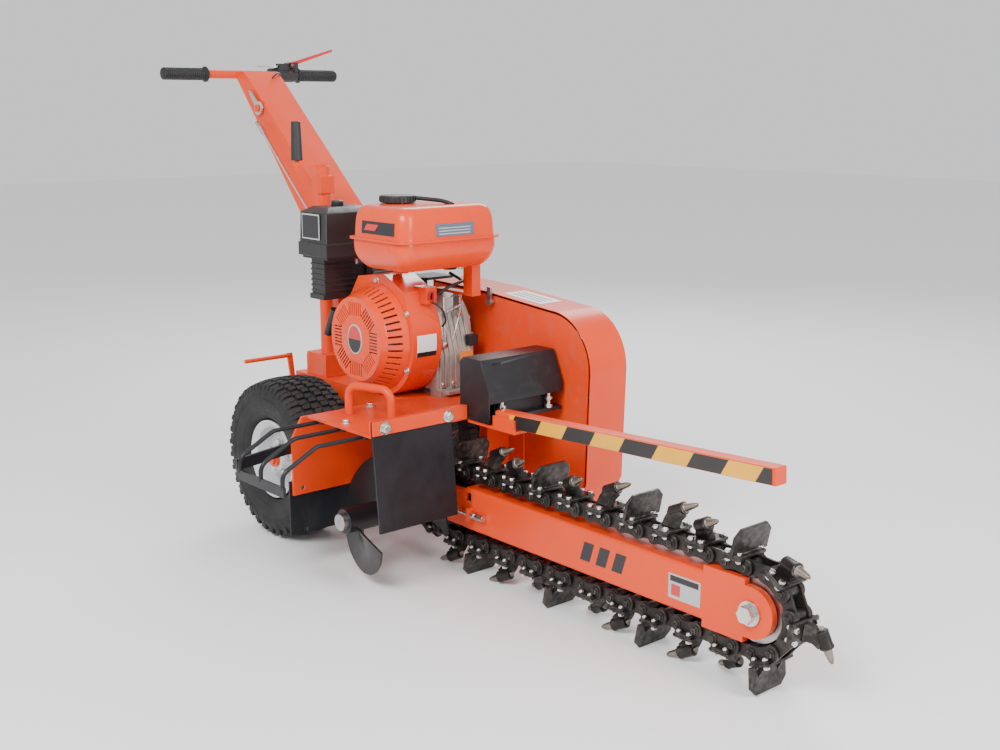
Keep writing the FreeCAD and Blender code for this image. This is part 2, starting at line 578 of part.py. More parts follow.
def make_jack():
    x, y, r = D["jack_x"], D["jack_y"], D["jack_radius"]
    top, low = D["jack_top_z"], D["jack_low_z"]
    outer = solid_rod(r, (x, y, low), (x, y, top)).cut(solid_rod(r - D["jack_wall"], (x, y, low - 1), (x, y, top - 40)))
    head = solid_box(x - 19, x + 19, y - 19, y + 19, top - 62, top - 22)
    saddle = solid_box(x - 42, x + 42, y - 34, y + 26, D["deck_top"], D["deck_top"] + 54)
    saddle = saddle.cut(prism_y([(x - 43, 425), (x - 43, 385), (x - 30, 425)], y - 60, y + 60))
    tube = join([outer, head, saddle]).cut(solid_rod(r - D["jack_wall"], (x, y, low - 20), (x, y, top - 40)))
    tube = tube.cut(solid_rod(4.05, (x, y, top - 60), (x, y, top + 5)))
    link = solid_box(x - 24, x - 8, y + 15, -D["column_width"] / 2, top - 56, top - 30)
    feature("jack_tube", join([tube, link]))
    az = D["axle_z"]
    r = D["ram_radius"]
    foot = V(x, y, az + 34 + 1.0 + r)
    ram = solid_rod(r, foot, (x, y, 560)).cut(solid_rod(6, (x, y, foot.z + 30), (x, y, 561)))
    feature("jack_ram", join([ram, Part.makeSphere(r, foot)]))
    screw = solid_rod(5.5, (x, y, 300), (x, y, top - 40.5))
    stem = solid_rod(4, (x, y, top - 60), (x, y, top + 3))
    arm = solid_box(x - 70, x + 9, y - 5, y + 5, top + 1, top + 8)
    bolt = solid_rod(5, (x - 62, y, top - 7), (x - 62, y, top + 12))
    grip = Part.makeCone(14, 11, D["crank_grip_length"], V(x - 62, y, top + 12.5))
    grip_bore = solid_rod(5, (x - 62, y, top - 7), (x - 62, y, top + 40))
    for piece in (arm, bolt, grip, grip_bore):
        piece.rotate(V(x, y, 0), V(0, 0, 1), CRANK_TURN)
    feature("jack_crank", join([screw, stem, arm, bolt]))
    feature("jack_crank_grip", grip.cut(grip_bore))


CRANK_TURN = 40.0


def make_foot_pedal():
    """Pedal rod on a short upright that turns on a pin through the rail."""
    x, z, top, y = -136.0, 326.0, 388.0, D["deck_neck_y"]
    plate = prism_x([(y - 23, z), (y - 11, z), (y - 18, top + 6), (y - 32, top + 6)], x - 3, x + 3)
    bar = solid_rod(5, (x, y - 146, top), (x, y - 24, top))
    hub = solid_rod(11, (x, y - 24, z), (x, y - 10, z))
    pedal = join([plate, bar, hub]).cut(solid_rod(6.05, (x, y - 90, z), (x, y, z)))
    feature("foot_pedal", pedal)
    FASTENERS.append(join([solid_rod(6, (x, y - 26, z), (x, y, z)), solid_rod(9, (x, y - 27.5, z), (x, y - 24.4, z)),
                           solid_rod(12, (x, y - 9.6, z), (x, y, z))]))


# ---------------------------------------------------------------- engine

def make_crankcase():
    x, z, base = D["crank_x"], D["crank_z"], D["deck_top"]
    y0, y1 = D["shroud_back_y"], D["crankcase_back_y"]
    side = [(x - 96, base + 16), (x + 112, base + 16), (x + 112, z - 40), (x + 84, z + 52), (x + 30, z + 92),
            (x - 60, z + 78), (x - 96, z + 30)]
    case = prism_y(side, y0, y1)
    feet = [solid_box(x + dx - 16, x + dx + 22, dy - 18, dy + 18, base, base + 18)
            for dx in (-85, 102) for dy in (-24, 42)]
    case = join([case] + feet)
    for dx in (-85, 102):
        for dy in (-34, 46):
            case = case.cut(solid_rod(D["bolt_radius"] + 0.3, (x + dx, dy, base - 1), (x + dx, dy, base + 40)))
    case = case.cut(solid_rod(78, (x, y0 + 12, z), (x, y1 + 1, z)))
    case = case.cut(solid_rod(D["crank_radius"] + D["running_gap"], (x, y0 - 1, z), (x, y1 + 1, z)))
    case = case.cut(solid_rod(9, (x + 96, 30, base + 60), (x + 130, 30, base + 90)))
    y2 = D["cover_face_y"]
    plate = solid_rod(92, (x, y1, z), (x, y1 + 12, z))
    lower = prism_y([(x - 92, base + 20), (x + 100, base + 20), (x + 100, z), (x - 92, z)], y1, y1 + 12)
    hub = solid_rod(44, (x, y1 + 8, z), (x, y2, z))
    cover = join([plate, lower, hub]).cut(solid_rod(D["crank_radius"] + D["running_gap"], (x, y1 - 1, z), (x, y2 + 1, z)))
    feature("crankcase", group([case, cover]))


def make_cylinder():
    """Finned cylinder and head leaning back from the crankcase."""
    x, z = D["crank_x"], D["crank_z"]
    tilt = math.radians(65)
    along = V(-math.sin(tilt), 0, math.cos(tilt))
    across = V(math.cos(tilt), 0, math.sin(tilt))

    def block(a0, a1, half, y0, y1):
        centre = V(x, 0, z)
        corners = [centre + along * a0 - across * half, centre + along * a1 - across * half,
                   centre + along * a1 + across * half, centre + along * a0 + across * half]
        return prism_y([(c.x, c.z) for c in corners], y0, y1)

    y_left = D["shroud_back_y"] + D["clearance"]
    parts = [block(98, 201, 44, -36, 50)]
    for i in range(7):
        parts.append(block(112 + 12 * i, 116 + 12 * i, 62, y_left, 58))
    parts.append(block(200, 236, 52, y_left, 54))
    case = block(0, 100.3, 90, -60, 80)
    feature("cylinder_head", join(parts).cut(case))


def make_muffler():
    x0, x1, y0, y1, z0, z1 = -70, 66, -14, 82, 634, 706
    can = solid_box(x0, x1, y0, y1, z0, z1)
    can = can.makeFillet(16, [e for e in can.Edges if abs(e.tangentAt(0).x) > 0.9])
    pipe = solid_rod(15, (20, 20, z0 - 10.5), (20, 20, z0 + 4))
    outlet = solid_rod(11, (x0 - 14, 60, 690), (x0 + 3, 60, 690))
    feature("muffler", join([can, pipe, outlet]))


def make_air_cleaner():
    x0, x1, y0, y1 = 8, 116, -197, -62
    z0, z1 = 648, 757
    body = Part.makeLoft([
        Part.makePolygon([V(a, b, z) for a, b in ((x0 + i, y0 + i), (x1 - i, y0 + i), (x1 - i, y1 - i),
                                                 (x0 + i, y1 - i), (x0 + i, y0 + i))])
        for z, i in ((z0 + 30, 0), (z1 - 12, 2), (z1, 22))], True, True)
    skirt = solid_box(x0 - 3, x1 + 3, y0 - 3, y1 + 3, z0, z0 + 30)
    hollow = solid_box(x0 + 3, x1 - 3, y0 + 3, y1 - 3, z0 - 1, z1 - 16)
    feature("air_cleaner_cover", join([body, skirt]).cut(hollow))
    element = solid_box(x0 + 12, x1 - 12, y0 + 12, y1 - 12, z0 + 2.2, z1 - 24)
    element = element.cut(solid_box(x0 + 30, x1 - 30, y0 + 30, y1 - 30, z0 - 8, z1 - 40))
    plate = solid_box(x0 + 4, x1 - 4, y0 + 4, y1 - 4, z0 - 6, z0 + 1.8)
    elbow = solid_box(30, 82, -182, -100, 556, z0 - 5)
    throat = solid_box(44, 66, -104, -60, 584, 620)
    bowl = join([solid_box(36, 72, -61, -44.5, 572, 632), solid_rod(14, (55, -80, 545), (55, -80, 586))])
    elbow = join([plate, elbow, solid_box(26, 82, -186, -96, 550, 562), throat, bowl])
    feature("air_cleaner_elbow", group([elbow, element]))


def make_fan_shroud():
    """Fan shroud and the recoil starter's cover, both hollow over the flywheel."""
    x, z, wall = D["crank_x"], D["crank_z"], D["sheet_wall"]
    r, y0, y1 = D["shroud_radius"], D["shroud_front_y"] + 30, D["shroud_back_y"]
    floor = D["deck_top"] + 3
    drum = solid_rod(r, (x, y0, z), (x, y1 - 1, z))
    upper = prism_y([(x - 60, z + 60), (x - 118, z + 60), (x - 70, z + 128), (x + 30, z + 140), (x + 100, z + 108),
                     (x + 128, z + 20)], y0, y1 - 1)
    shell = join([drum, upper])
    hollow = join([solid_rod(r - wall, (x, y0 + wall, z), (x, y1, z)),
                   prism_y([(x - 57, z + 50), (x - 110, z + 62), (x - 68, z + 124), (x + 28, z + 136),
                            (x + 97, z + 104), (x + 124, z + 20)], y0 + wall, y1)])
    shell = shell.cut(hollow).cut(solid_rod(D["drum_radius"] - 6, (x, y0 - 1, z), (x, y0 + wall + 1, z)))
    shell = shell.cut(solid_box(x - 200, x + 200, y0 - 1, y1 + 1, 0, floor))
    sx, sy, sz = SWITCH_AT
    feature("fan_shroud", join([shell, solid_box(sx - 12, sx + 30, sy - 15, sy + 15, sz - 18, sz + 18)]))

    front, base = D["recoil_radius"], D["drum_radius"]
    ry = D["recoil_y"]
    outer = Part.makeCone(front, base, y0 - 0.5 - ry, V(x, ry, z), V(0, 1, 0))
    inner = Part.makeCone(front - wall, base - wall, y0 - ry - wall, V(x, ry + wall, z), V(0, 1, 0))
    cover = outer.cut(inner)
    slots = []
    for k in range(44):
        angle = 2 * math.pi * k / 44
        slot = solid_box(x + base - 26, x + base + 4, ry + 16, y0 - 14, z - 2.2, z + 2.2)
        slot.rotate(V(x, 0, z), V(0, 1, 0), math.degrees(angle))
        slots.append(slot)
    for sector in range(8):
        turn = 45.0 * sector
        for k in range(-3, 4):
            slot = solid_box(x + 52, x + front - 12, ry - 1, ry + wall + 1, z - 1.6 + 7 * k, z + 1.6 + 7 * k)
            slot.rotate(V(x, 0, z), V(0, 1, 0), turn)
            slots.append(slot)
    cover = cover.cut(slots)
    cover = cover.cut(solid_rod(6.0, (x - 96, ry + 30, z + 18), (x - 150, ry + 30, z + 18)))
    feature("recoil_cover", cover)

    gx, gy, gz = x - 118, ry + 30, z + 18
    stem = solid_rod(4.0, (x - 90, gy, gz), (gx - 8, gy, gz))
    bar = Part.makeCylinder(9.5, 68, V(gx - 20, gy, gz - 34))
    bar.rotate(V(gx - 20, gy, gz), V(0, 1, 0), 28)
    neck = Part.makeCone(5, 8, 14, V(gx - 2, gy, gz), V(-1, 0, 0))
    grip = join([stem, bar, neck])
    feature("starter_grip", grip)


def make_crankshaft():
    x, z = D["crank_x"], D["crank_z"]
    r = D["crank_radius"]
    shaft = solid_rod(r, (x, -128, z), (x, D["belt_plane_y"] + D["pulley_width"] + 3, z))
    wheel = solid_rod(96, (x, -112, z), (x, -92, z))
    blades = []
    for k in range(14):
        blade = solid_box(x + 48, x + 94, -120, -111, z - 1.5, z + 1.5)
        blade.rotate(V(x, 0, z), V(0, 1, 0), 360.0 * k / 14)
        blades.append(blade)
    fan = join([solid_rod(97, (x, -114.5, z), (x, -112.1, z))] + blades)
    fan = fan.cut([solid_rod(r + 0.1, (x, -140, z), (x, -100, z)), solid_box(x - 99, x + 99, -112.1, -100, z - 99, z + 99)])
    pulley = grooved(D["drive_pulley_radius"], r, D["pulley_width"], 2, D["belt_plane_y"], x, z)
    feature("crankshaft", group([join([shaft, wheel]), fan, pulley]))


def make_fuel_tank():
    x, y = D["tank_x"], D["tank_y"]
    a, b = D["tank_length"] / 2, D["tank_width"] / 2

    def ring(z, inset):
        size_x, size_y, r = a - inset, b - inset, max(30 - inset * 0.2, 12)
        edges = []
        for sx, sy in ((1, -1), (1, 1), (-1, 1), (-1, -1)):
            corner = V(x + sx * (size_x - r), y + sy * (size_y - r), z)
            turn = math.atan2(sy, sx)
            ends = [corner + V(math.cos(turn + t), math.sin(turn + t), 0) * r
                    for t in (-math.pi / 4, 0, math.pi / 4)]
            if edges:
                edges.append(Part.LineSegment(last, ends[0]))
            else:
                first = ends[0]
            edges.append(Part.Arc(*ends))
            last = ends[2]
        edges.append(Part.LineSegment(last, first))
        return Part.Wire([e.toShape() for e in edges])

    seam, low, top = D["tank_seam_z"], D["tank_low_z"], D["tank_top_z"]
    lower = Part.makeLoft([ring(low, 26), ring(low + 22, 8), ring(seam, 4)], True, False)
    upper = Part.makeLoft([ring(seam, 4), ring(seam + 40, 7), ring(top - 8, 14), ring(top, 30)], True, False)
    flange = Part.Face(ring(seam - 2, -4)).extrude(V(0, 0, 4))
    tank = join([lower, upper, flange])
    inner = Part.makeLoft([ring(low + 3, 34), ring(low + 24, 14), ring(seam, 9)], True, False)
    inner_top = Part.makeLoft([ring(seam - 0.5, 9), ring(seam + 40, 12), ring(top - 10, 20), ring(top - 4, 36)], True, False)
    tank = tank.cut(join([inner, inner_top]))
    cx, cy = CAP_AT
    neck = solid_rod(24, (cx, cy, top - 6), (cx, cy, top + 4)).cut(solid_rod(19, (cx, cy, top - 12), (cx, cy, top + 6)))
    tank = join([tank.cut(solid_rod(19, (cx, cy, top - 12), (cx, cy, top + 6))), neck])
    bx, bz = D["crank_x"] + 29, D["crank_z"] + 92 + D["clearance"]
    brackets = [solid_box(bx, bx + 130, 20, 44, bz, bz + 6),
                solid_box(bx + 100, bx + 130, 20, 44, bz, low),
                solid_box(bx, bx + 24, -96, -72, D["crank_z"] + 141, low)]
    feature("fuel_tank", group([tank, brackets[0].fuse(brackets[1]), brackets[2]]))
    cap = solid_rod(D["cap_radius"], (cx, cy, top + 1.5), (cx, cy, top + 17))
    cap = cap.makeFillet(3, [e for e in cap.Edges if abs(e.CenterOfMass.z - top - 17) < 0.1])
    cap = cap.cut(solid_rod(24.4, (cx, cy, top), (cx, cy, top + 7)))
    feature("fuel_cap", join([cap, solid_rod(18.6, (cx, cy, top - 6), (cx, cy, top + 8))]))


def make_engine_small_parts():
    base = D["deck_top"]
    start, along = V(D["crank_x"] + 99.5, 30, base + 63), V(34, 0, 30).normalize()
    plug = Part.makeCylinder(8.6, 34, start, along)
    seat = start + along * 32
    wing = Part.makeCylinder(14, 6, seat, along)
    ear = solid_box(seat.x + 1, seat.x + 9, 16, 44, seat.z + 1, seat.z + 13)
    feature("oil_dipstick", join([plug, wing, ear]))
    sx, sy, sz = SWITCH_AT
    knob = join([solid_rod(10, (sx + 30.5, sy, sz), (sx + 38, sy, sz)),
                 solid_box(sx + 37, sx + 45, sy - 3, sy + 3, sz - 9, sz + 9)])
    feature("engine_switch", knob)


CAP_AT = (245, -97)
SWITCH_AT = (289, -66, 576)


# ---------------------------------------------------------------- drive train

def guard_outline(inset=0.0):
    """Side outline of the belt guard in X and Z, drawn a given distance inside its edge."""
    i = inset
    x, z, r = D["jackshaft_x"], D["jackshaft_z"], D["driven_pulley_radius"] + 21.0 - i
    cx, cz, sx, sz = D["crank_x"], D["crank_z"], D["sprocket_x"], D["boom_z"]
    left, top, low = cx - D["drive_pulley_radius"] - 40 + i, cz + 99 - i, cz - 87 + i
    leg, foot = sx - D["final_pulley_radius"] - 14 + i, sz - D["final_pulley_radius"] - 21 + i
    front = V(x + r, 0, z)
    before = [V(leg, 0, low), V(left, 0, low), V(left, 0, top), V(cx + 112, 0, top - 7), V(x, 0, z + r)]
    after = [front, V(x + r - 8, 0, sz + 47), V(x + r - 60, 0, foot + 48), V(sx - 8, 0, foot), V(leg, 0, foot + 52),
             before[0]]
    edges = [Part.LineSegment(a, b) for line in (before, after) for a, b in zip(line, line[1:])]
    edges.insert(len(before) - 1, Part.Arc(before[-1], V(x + r * math.sin(0.8), 0, z + r * math.cos(0.8)), front))
    return Part.Wire([e.toShape() for e in edges])


def guard_plate(inset, y0, y1):
    face = Part.Face(guard_outline(inset))
    face.translate(V(0, y0, 0))
    return face.extrude(V(0, y1 - y0, 0))


def make_belt_guard():
    y, w, t = D["guard_y"], D["guard_width"], D["guard_wall"]
    back = guard_plate(6.0, y, y + t)
    holes = [solid_rod(46, (D["crank_x"], y - 1, D["crank_z"]), (D["crank_x"], y + t + 1, D["crank_z"])),
             solid_rod(24, (D["jackshaft_x"], y - 1, D["jackshaft_z"]), (D["jackshaft_x"], y + t + 1, D["jackshaft_z"])),
             solid_rod(24, (D["sprocket_x"], y - 1, D["boom_z"]), (D["sprocket_x"], y + t + 1, D["boom_z"])),
             solid_rod(8.1, (IDLER_PIVOT[0], y - 1, IDLER_PIVOT[1]), (IDLER_PIVOT[0], y + t + 1, IDLER_PIVOT[1]))]
    feature("belt_guard_back", back.cut(holes))
    shell = guard_plate(0.0, y, y + w).cut(guard_plate(t, y - 1, y + w - t))
    feature("belt_guard_cover", shell)


def grooved(radius, bore, width, grooves, y, x, z):
    """A V-belt pulley on a shaft along Y."""
    wheel = solid_rod(radius, (x, y - width / 2, z), (x, y + width / 2, z))
    depth = D["belt_height"] + 2
    for g in range(grooves):
        centre = y + (g - (grooves - 1) / 2) * 17.0
        ring = [(radius + 1, centre - 6.7), (radius + 1, centre + 6.7), (radius - depth, centre + 4.0),
                (radius - depth, centre - 4.0)]
        wire = Part.makePolygon([V(x + r, c, z) for r, c in ring] + [V(x + ring[0][0], ring[0][1], z)])
        wheel = wheel.cut(Part.Face(wire).revolve(V(x, 0, z), V(0, 1, 0), 360))
    return wheel.cut(solid_rod(bore, (x, y - width, z), (x, y + width, z)))


def belt_loop(xa, za, ra, xb, zb, rb, y):
    """Open belt round two pulleys: its outer and inner lines are the common tangents."""
    span, angle = math.hypot(xb - xa, zb - za), math.atan2(zb - za, xb - xa)

    def band(extra):
        a, b = ra + extra, rb + extra
        lean = math.asin((a - b) / span)
        up, down = angle + math.pi / 2 - lean, angle - math.pi / 2 + lean
        pa, pb = [V(xa + a * math.cos(t), 0, za + a * math.sin(t)) for t in (up, down)]
        qa, qb = [V(xb + b * math.cos(t), 0, zb + b * math.sin(t)) for t in (up, down)]
        back = V(xa - a * math.cos(angle), 0, za - a * math.sin(angle))
        front = V(xb + b * math.cos(angle), 0, zb + b * math.sin(angle))
        edges = [Part.LineSegment(pa, qa), Part.Arc(qa, front, qb), Part.LineSegment(qb, pb), Part.Arc(pb, back, pa)]
        return Part.Face(Part.Wire([e.toShape() for e in edges]))

    half = 3.6
    outer, inner = band(-0.4), band(-0.4 - D["belt_height"])
    flat = outer.cut(inner)
    flat.translate(V(0, y - half, 0))
    return flat.extrude(V(0, 2 * half, 0))


def make_drive():
    cx, cz, jx, jz = D["crank_x"], D["crank_z"], D["jackshaft_x"], D["jackshaft_z"]
    sx, sz, r = D["sprocket_x"], D["boom_z"], D["shaft_radius"]
    y1, y2, w = D["belt_plane_y"], D["final_plane_y"], D["pulley_width"]
    driven = grooved(D["driven_pulley_radius"], r, w, 2, y1, jx, jz)
    small = grooved(D["small_pulley_radius"], r, w, 2, y2, jx, jz)
    shaft = solid_rod(r, (jx, D["cover_left_y"] + 12, jz), (jx, y2 + w / 2 + 4, jz))
    feature("jackshaft", group([shaft, driven, small]))
    first = [belt_loop(cx, cz, D["drive_pulley_radius"], jx, jz, D["driven_pulley_radius"], y1 + s * 8.5) for s in (-1, 1)]
    final = [belt_loop(jx, jz, D["small_pulley_radius"], sx, sz, D["final_pulley_radius"], y2 + s * 8.5)
             for s in (-1, 1)]
    feature("drive_belts", group(first + final))

    ix, iz = IDLER_PIVOT
    wheel_at = (ix - 60, iz - 9)
    arm = prism_y([(ix + 13, iz - 13), (ix + 13, iz + 13), (ix - 13, iz + 13), (wheel_at[0] - 9, wheel_at[1] + 9),
                   (wheel_at[0] - 9, wheel_at[1] - 9), (ix - 13, iz - 13)], y1 - 17, y1 - 12.6)
    roller = solid_rod(17, (wheel_at[0], y1 - 12.7, wheel_at[1]), (wheel_at[0], y1 + 15, wheel_at[1]))
    pivot = solid_rod(8, (ix, D["guard_y"] - 14, iz), (ix, y1 - 12.4, iz))
    lug = solid_box(ix - 6, ix + 6, D["guard_y"] - 14, D["guard_y"] - 8, iz - 6, iz + 34)
    feature("idler_arm", join([arm, roller, pivot, lug]))


IDLER_PIVOT = (330, 548)


def make_bearings():
    """Bearing block of the jackshaft under its black cover, and the digging shaft's housing."""
    jx, jz, r = D["jackshaft_x"], D["jackshaft_z"], D["shaft_radius"]
    y0, y1 = D["cover_left_y"], D["deck_right_y"]
    base = solid_box(jx - 62, jx + 42, y0, y1 - 4, D["deck_top"], D["deck_top"] + 8)
    block = solid_box(jx - 26, jx + 26, y0 + 30, y1 - 20, D["deck_top"] + 8, jz - 6)
    barrel = solid_rod(r + 10, (jx, y0 + 26, jz), (jx, y1 - 6, jz))
    support = join([base, block, barrel]).cut(solid_rod(r + D["running_gap"], (jx, -300, jz), (jx, 300, jz)))
    stud = D["bolt_radius"] - 0.5 + D["clearance"]
    support = support.cut([solid_rod(stud, (jx + 36, y, 300), (jx + 36, y, 420)) for y in COVER_STUDS_Y])
    feature("jackshaft_housing", support)
    top = jz + 42
    side = [(jx - 48, D["deck_top"] + 8.2), (jx - 48, top - 10), (jx - 38, top), (jx + 18, top), (jx + 46, top - 66),
            (jx + 46, D["deck_top"] + 40), (jx + 43, D["deck_top"] + 40), (jx + 43, top - 67), (jx + 16, top - 3),
            (jx - 36.6, top - 3), (jx - 45, top - 11.4), (jx - 45, D["deck_top"] + 8.2)]
    shell = prism_y(side, y0, y1 - 6)
    end = prism_y([side[0], side[1], side[2], side[3], side[4], (jx + 46, D["deck_top"] + 8.2)], y0, y0 + 3)
    cover = join([shell, end]).cut(prism_y([(jx + 20, top - 10), (jx + 48, top - 40), (jx + 60, top - 40),
                                            (jx + 40, top - 5)], y0 + 28, y0 + 52))
    feature("bearing_cover", cover)

    sx, sz = D["sprocket_x"], D["boom_z"]
    housing = join([solid_rod(36, (sx, -36, sz), (sx, D["guard_y"] - 1, sz)),
                    solid_rod(50, (sx, -39.8, sz), (sx, -34, sz))])
    web = solid_box(sx - 12, sx + 12, 30, D["guard_y"] - 1, sz, D["deck_top"] - D["deck_thick"])
    web2 = solid_box(sx - 90, sx + 60, D["guard_y"] - 7, D["guard_y"] - 1, sz - 20, D["deck_top"] - D["deck_thick"])
    inner = solid_rod(r + D["running_gap"], (sx, -300, sz), (sx, 300, sz))
    feature("shaft_housing", join([housing, web, web2]).cut(inner))


COVER_STUDS_Y = (-70, 60)


def make_auger():
    """Helical flight on a tube that slips over the digging shaft."""
    sx, sz, r = D["sprocket_x"], D["boom_z"], D["shaft_radius"]
    y0, y1 = D["auger_left_y"], D["auger_right_y"]
    belt_y, w = D["final_plane_y"], D["pulley_width"]
    shaft = solid_rod(r, (sx, y0 - 12, sz), (sx, belt_y + w / 2 + 4, sz))
    feature("digging_shaft", group([shaft, grooved(D["final_pulley_radius"], r, w, 2, belt_y, sx, sz)]))
    tube_r, out_r, t = D["auger_tube_radius"], D["auger_radius"], D["flight_thick"]
    tube = solid_rod(tube_r, (0, 0, 0), (0, y1 - y0, 0))
    pitch = y1 - y0 - 26
    turns = 1.0
    helix = Part.makeHelix(pitch, pitch * turns, out_r)
    section = Part.makePolygon([V(tube_r - 6, 0, -t / 2), V(out_r, 0, -t / 2), V(out_r, 0, t / 2),
                                V(tube_r - 6, 0, t / 2), V(tube_r - 6, 0, -t / 2)])
    sweep = Part.Wire(helix).makePipeShell([section], True, True)
    flight = sweep
    flight.rotate(V(0, 0, 0), V(1, 0, 0), -90)
    flight.translate(V(0, 13, 0))
    for piece in (tube, flight):
        piece.rotate(V(0, 0, 0), V(0, 1, 0), AUGER_TURN)
        piece.translate(V(sx, y0, sz))
    feature("auger_flight", join([tube, flight]).cut(solid_rod(r, (sx, y0 - 1, sz), (sx, y1 + 1, sz))))


AUGER_TURN = 20.0


# ---------------------------------------------------------------- boom and digging chain

def pitch_radius():
    return D["chain_pitch"] / (2 * math.sin(math.pi / SPROCKET_TEETH))


def nose_x():
    return D["sprocket_x"] + (CHAIN_LINKS - SPROCKET_TEETH) / 2 * D["chain_pitch"]


def make_boom():
    y, h, w, wall = D["boom_y"], D["boom_height"], D["boom_width"], D["boom_wall"]
    x0, nose, z = D["boom_root_x"], nose_x(), D["boom_z"]
    tube_end = nose - 100
    outer = solid_box(x0, tube_end, y - w / 2, y + w / 2, z - h / 2, z + h / 2)
    outer = outer.makeFillet(7, [e for e in outer.Edges if abs(e.tangentAt(0).x) > 0.9])
    beam = outer.cut(solid_box(x0 - 1, tube_end + 1, y - w / 2 + wall, y + w / 2 - wall, z - h / 2 + wall,
                               z + h / 2 - wall))
    cheeks = []
    for s in (-1, 1):
        face = y + s * w / 2
        y0, y1 = sorted((face, face - s * 6))
        side = [(D["sprocket_x"] - 42, z - 42), (x0 + 2, z - h / 2 + 4), (x0 + 2, z + h / 2 - 4),
                (D["sprocket_x"] - 42, z + 42)]
        cheeks.append(prism_y(side, y0, y1).cut(solid_rod(D["shaft_radius"] + 3, (D["sprocket_x"], -200, z),
                                                        (D["sprocket_x"], 100, z))))
    end = solid_box(tube_end - 4, nose - 14, y - w / 2, y + w / 2, z - 57, z + 57)
    gap = solid_box(nose - 66, nose + 100, y - 17, y + 17, z - 80, z + 80)
    forks = []
    for s in (-1, 1):
        y0, y1 = sorted((y + s * 17, y + s * w / 2))
        forks.append(join([solid_box(nose - 20, nose, y0, y1, z - h / 2, z + h / 2),
                           solid_rod(h / 2, (nose, y0, z), (nose, y1, z))]))
    end = end.cut(gap)
    notch = solid_box(x0 + 2, x0 + 18, y - w / 2 - 1, y - w / 2 + 8, z + 18, z + 36)
    beam = join([beam, end] + forks + cheeks).cut(notch)
    beam = beam.cut(solid_rod(12.05, (nose, y - 60, z), (nose, y + 60, z)))
    lug = solid_box(x0 + 20, x0 + 30, y - w / 2 - 16, y - w / 2, z - 20, z + 8)
    beam = join([beam, lug]).cut(solid_rod(5.05, (x0, y - w / 2 - 8, z - 6), (x0 + 60, y - w / 2 - 8, z - 6)))
    feature("boom_beam", beam)

    x1 = x0 - 4
    line_y, line_z = y - w / 2 - 8, z - 6
    screw = solid_rod(5, (x1 - 6, line_y, line_z), (x1 + 62, line_y, line_z))
    nut = solid_rod(8, (x1 + 36, line_y, line_z), (x1 + 44, line_y, line_z))
    barrel = solid_rod(7.8, (x1 + 52, line_y, line_z), (x1 + 72, line_y, line_z))
    FASTENERS.append(join([screw, nut, barrel]))

    pin = solid_rod(12, (nose, y - w / 2 - 16, z), (nose, y + w / 2 + 12, z))
    heads = [solid_rod(22, (nose, y - w / 2 - 5, z), (nose, y - w / 2, z)),
             hexagon(nose, z, 14, y - w / 2 - 18, y - w / 2 - 5),
             solid_rod(22, (nose, y + w / 2, z), (nose, y + w / 2 + 4, z)), hexagon(nose, z, 15, y + w / 2 + 4, y + w / 2 + 14)]
    FASTENERS.append(join([pin] + heads))
    roller = solid_rod(D["nose_roller_radius"] - 0.5, (nose, y - 12.5, z), (nose, y + 12.5, z))
    roller = roller.cut(solid_rod(12.05, (nose, y - 40, z), (nose, y + 40, z)))
    hubs = [solid_rod(20, (nose, y + s * 14 - 2, z), (nose, y + s * 14 + 2, z)).cut(
        solid_rod(12.05, (nose, y - 40, z), (nose, y + 40, z))) for s in (-1, 1)]
    feature("nose_roller", join([roller] + hubs))


def hexagon(x, z, half, y0, y1):
    """A hexagon head on an axis along Y, given by half its width across flats."""
    r = half / math.cos(math.pi / 6)
    points = [(x + r * math.cos(math.pi * k / 3), z + r * math.sin(math.pi * k / 3)) for k in range(6)]
    return prism_y(points, y0, y1)


def chain_frame(s):
    """Position and heading of a point at distance s along the chain's pitch line."""
    r, p = pitch_radius(), D["chain_pitch"]
    run = nose_x() - D["sprocket_x"]
    arc = SPROCKET_TEETH * p / 2
    s = s % (2 * run + 2 * arc)
    if s < run:
        return D["sprocket_x"] + s, D["boom_z"] + r, 0.0
    if s < run + arc:
        angle = (s - run) / arc * math.pi
        return nose_x() + r * math.sin(angle), D["boom_z"] + r * math.cos(angle), angle
    if s < 2 * run + arc:
        return nose_x() - (s - run - arc), D["boom_z"] - r, math.pi
    angle = (s - 2 * run - arc) / arc * math.pi
    return D["sprocket_x"] - r * math.sin(angle), D["boom_z"] - r * math.cos(angle), math.pi + angle


def link_between(k):
    """Middle point and heading of link k, from its two pins."""
    p = D["chain_pitch"]
    (xa, za, _), (xb, zb, _) = chain_frame(k * p), chain_frame((k + 1) * p)
    return (xa + xb) / 2, (za + zb) / 2, math.atan2(-(zb - za), xb - xa)


def put_on_link(shape, k):
    """Moves a shape drawn about a link's middle, +X ahead and +Z outward, to link k."""
    x, z, heading = link_between(k)
    copy = shape.copy()
    copy.rotate(V(0, 0, 0), V(0, 1, 0), math.degrees(heading))
    copy.translate(V(x, D["boom_y"], z))
    return copy


def waisted_plate(y0, y1):
    p, h = D["chain_pitch"], D["link_height"]
    ends = [solid_rod(h / 2, (s * p / 2, y0, 0), (s * p / 2, y1, 0)) for s in (-1, 1)]
    return join(ends + [solid_box(-p / 2, p / 2, y0, y1, -h / 2 + 3, h / 2)])


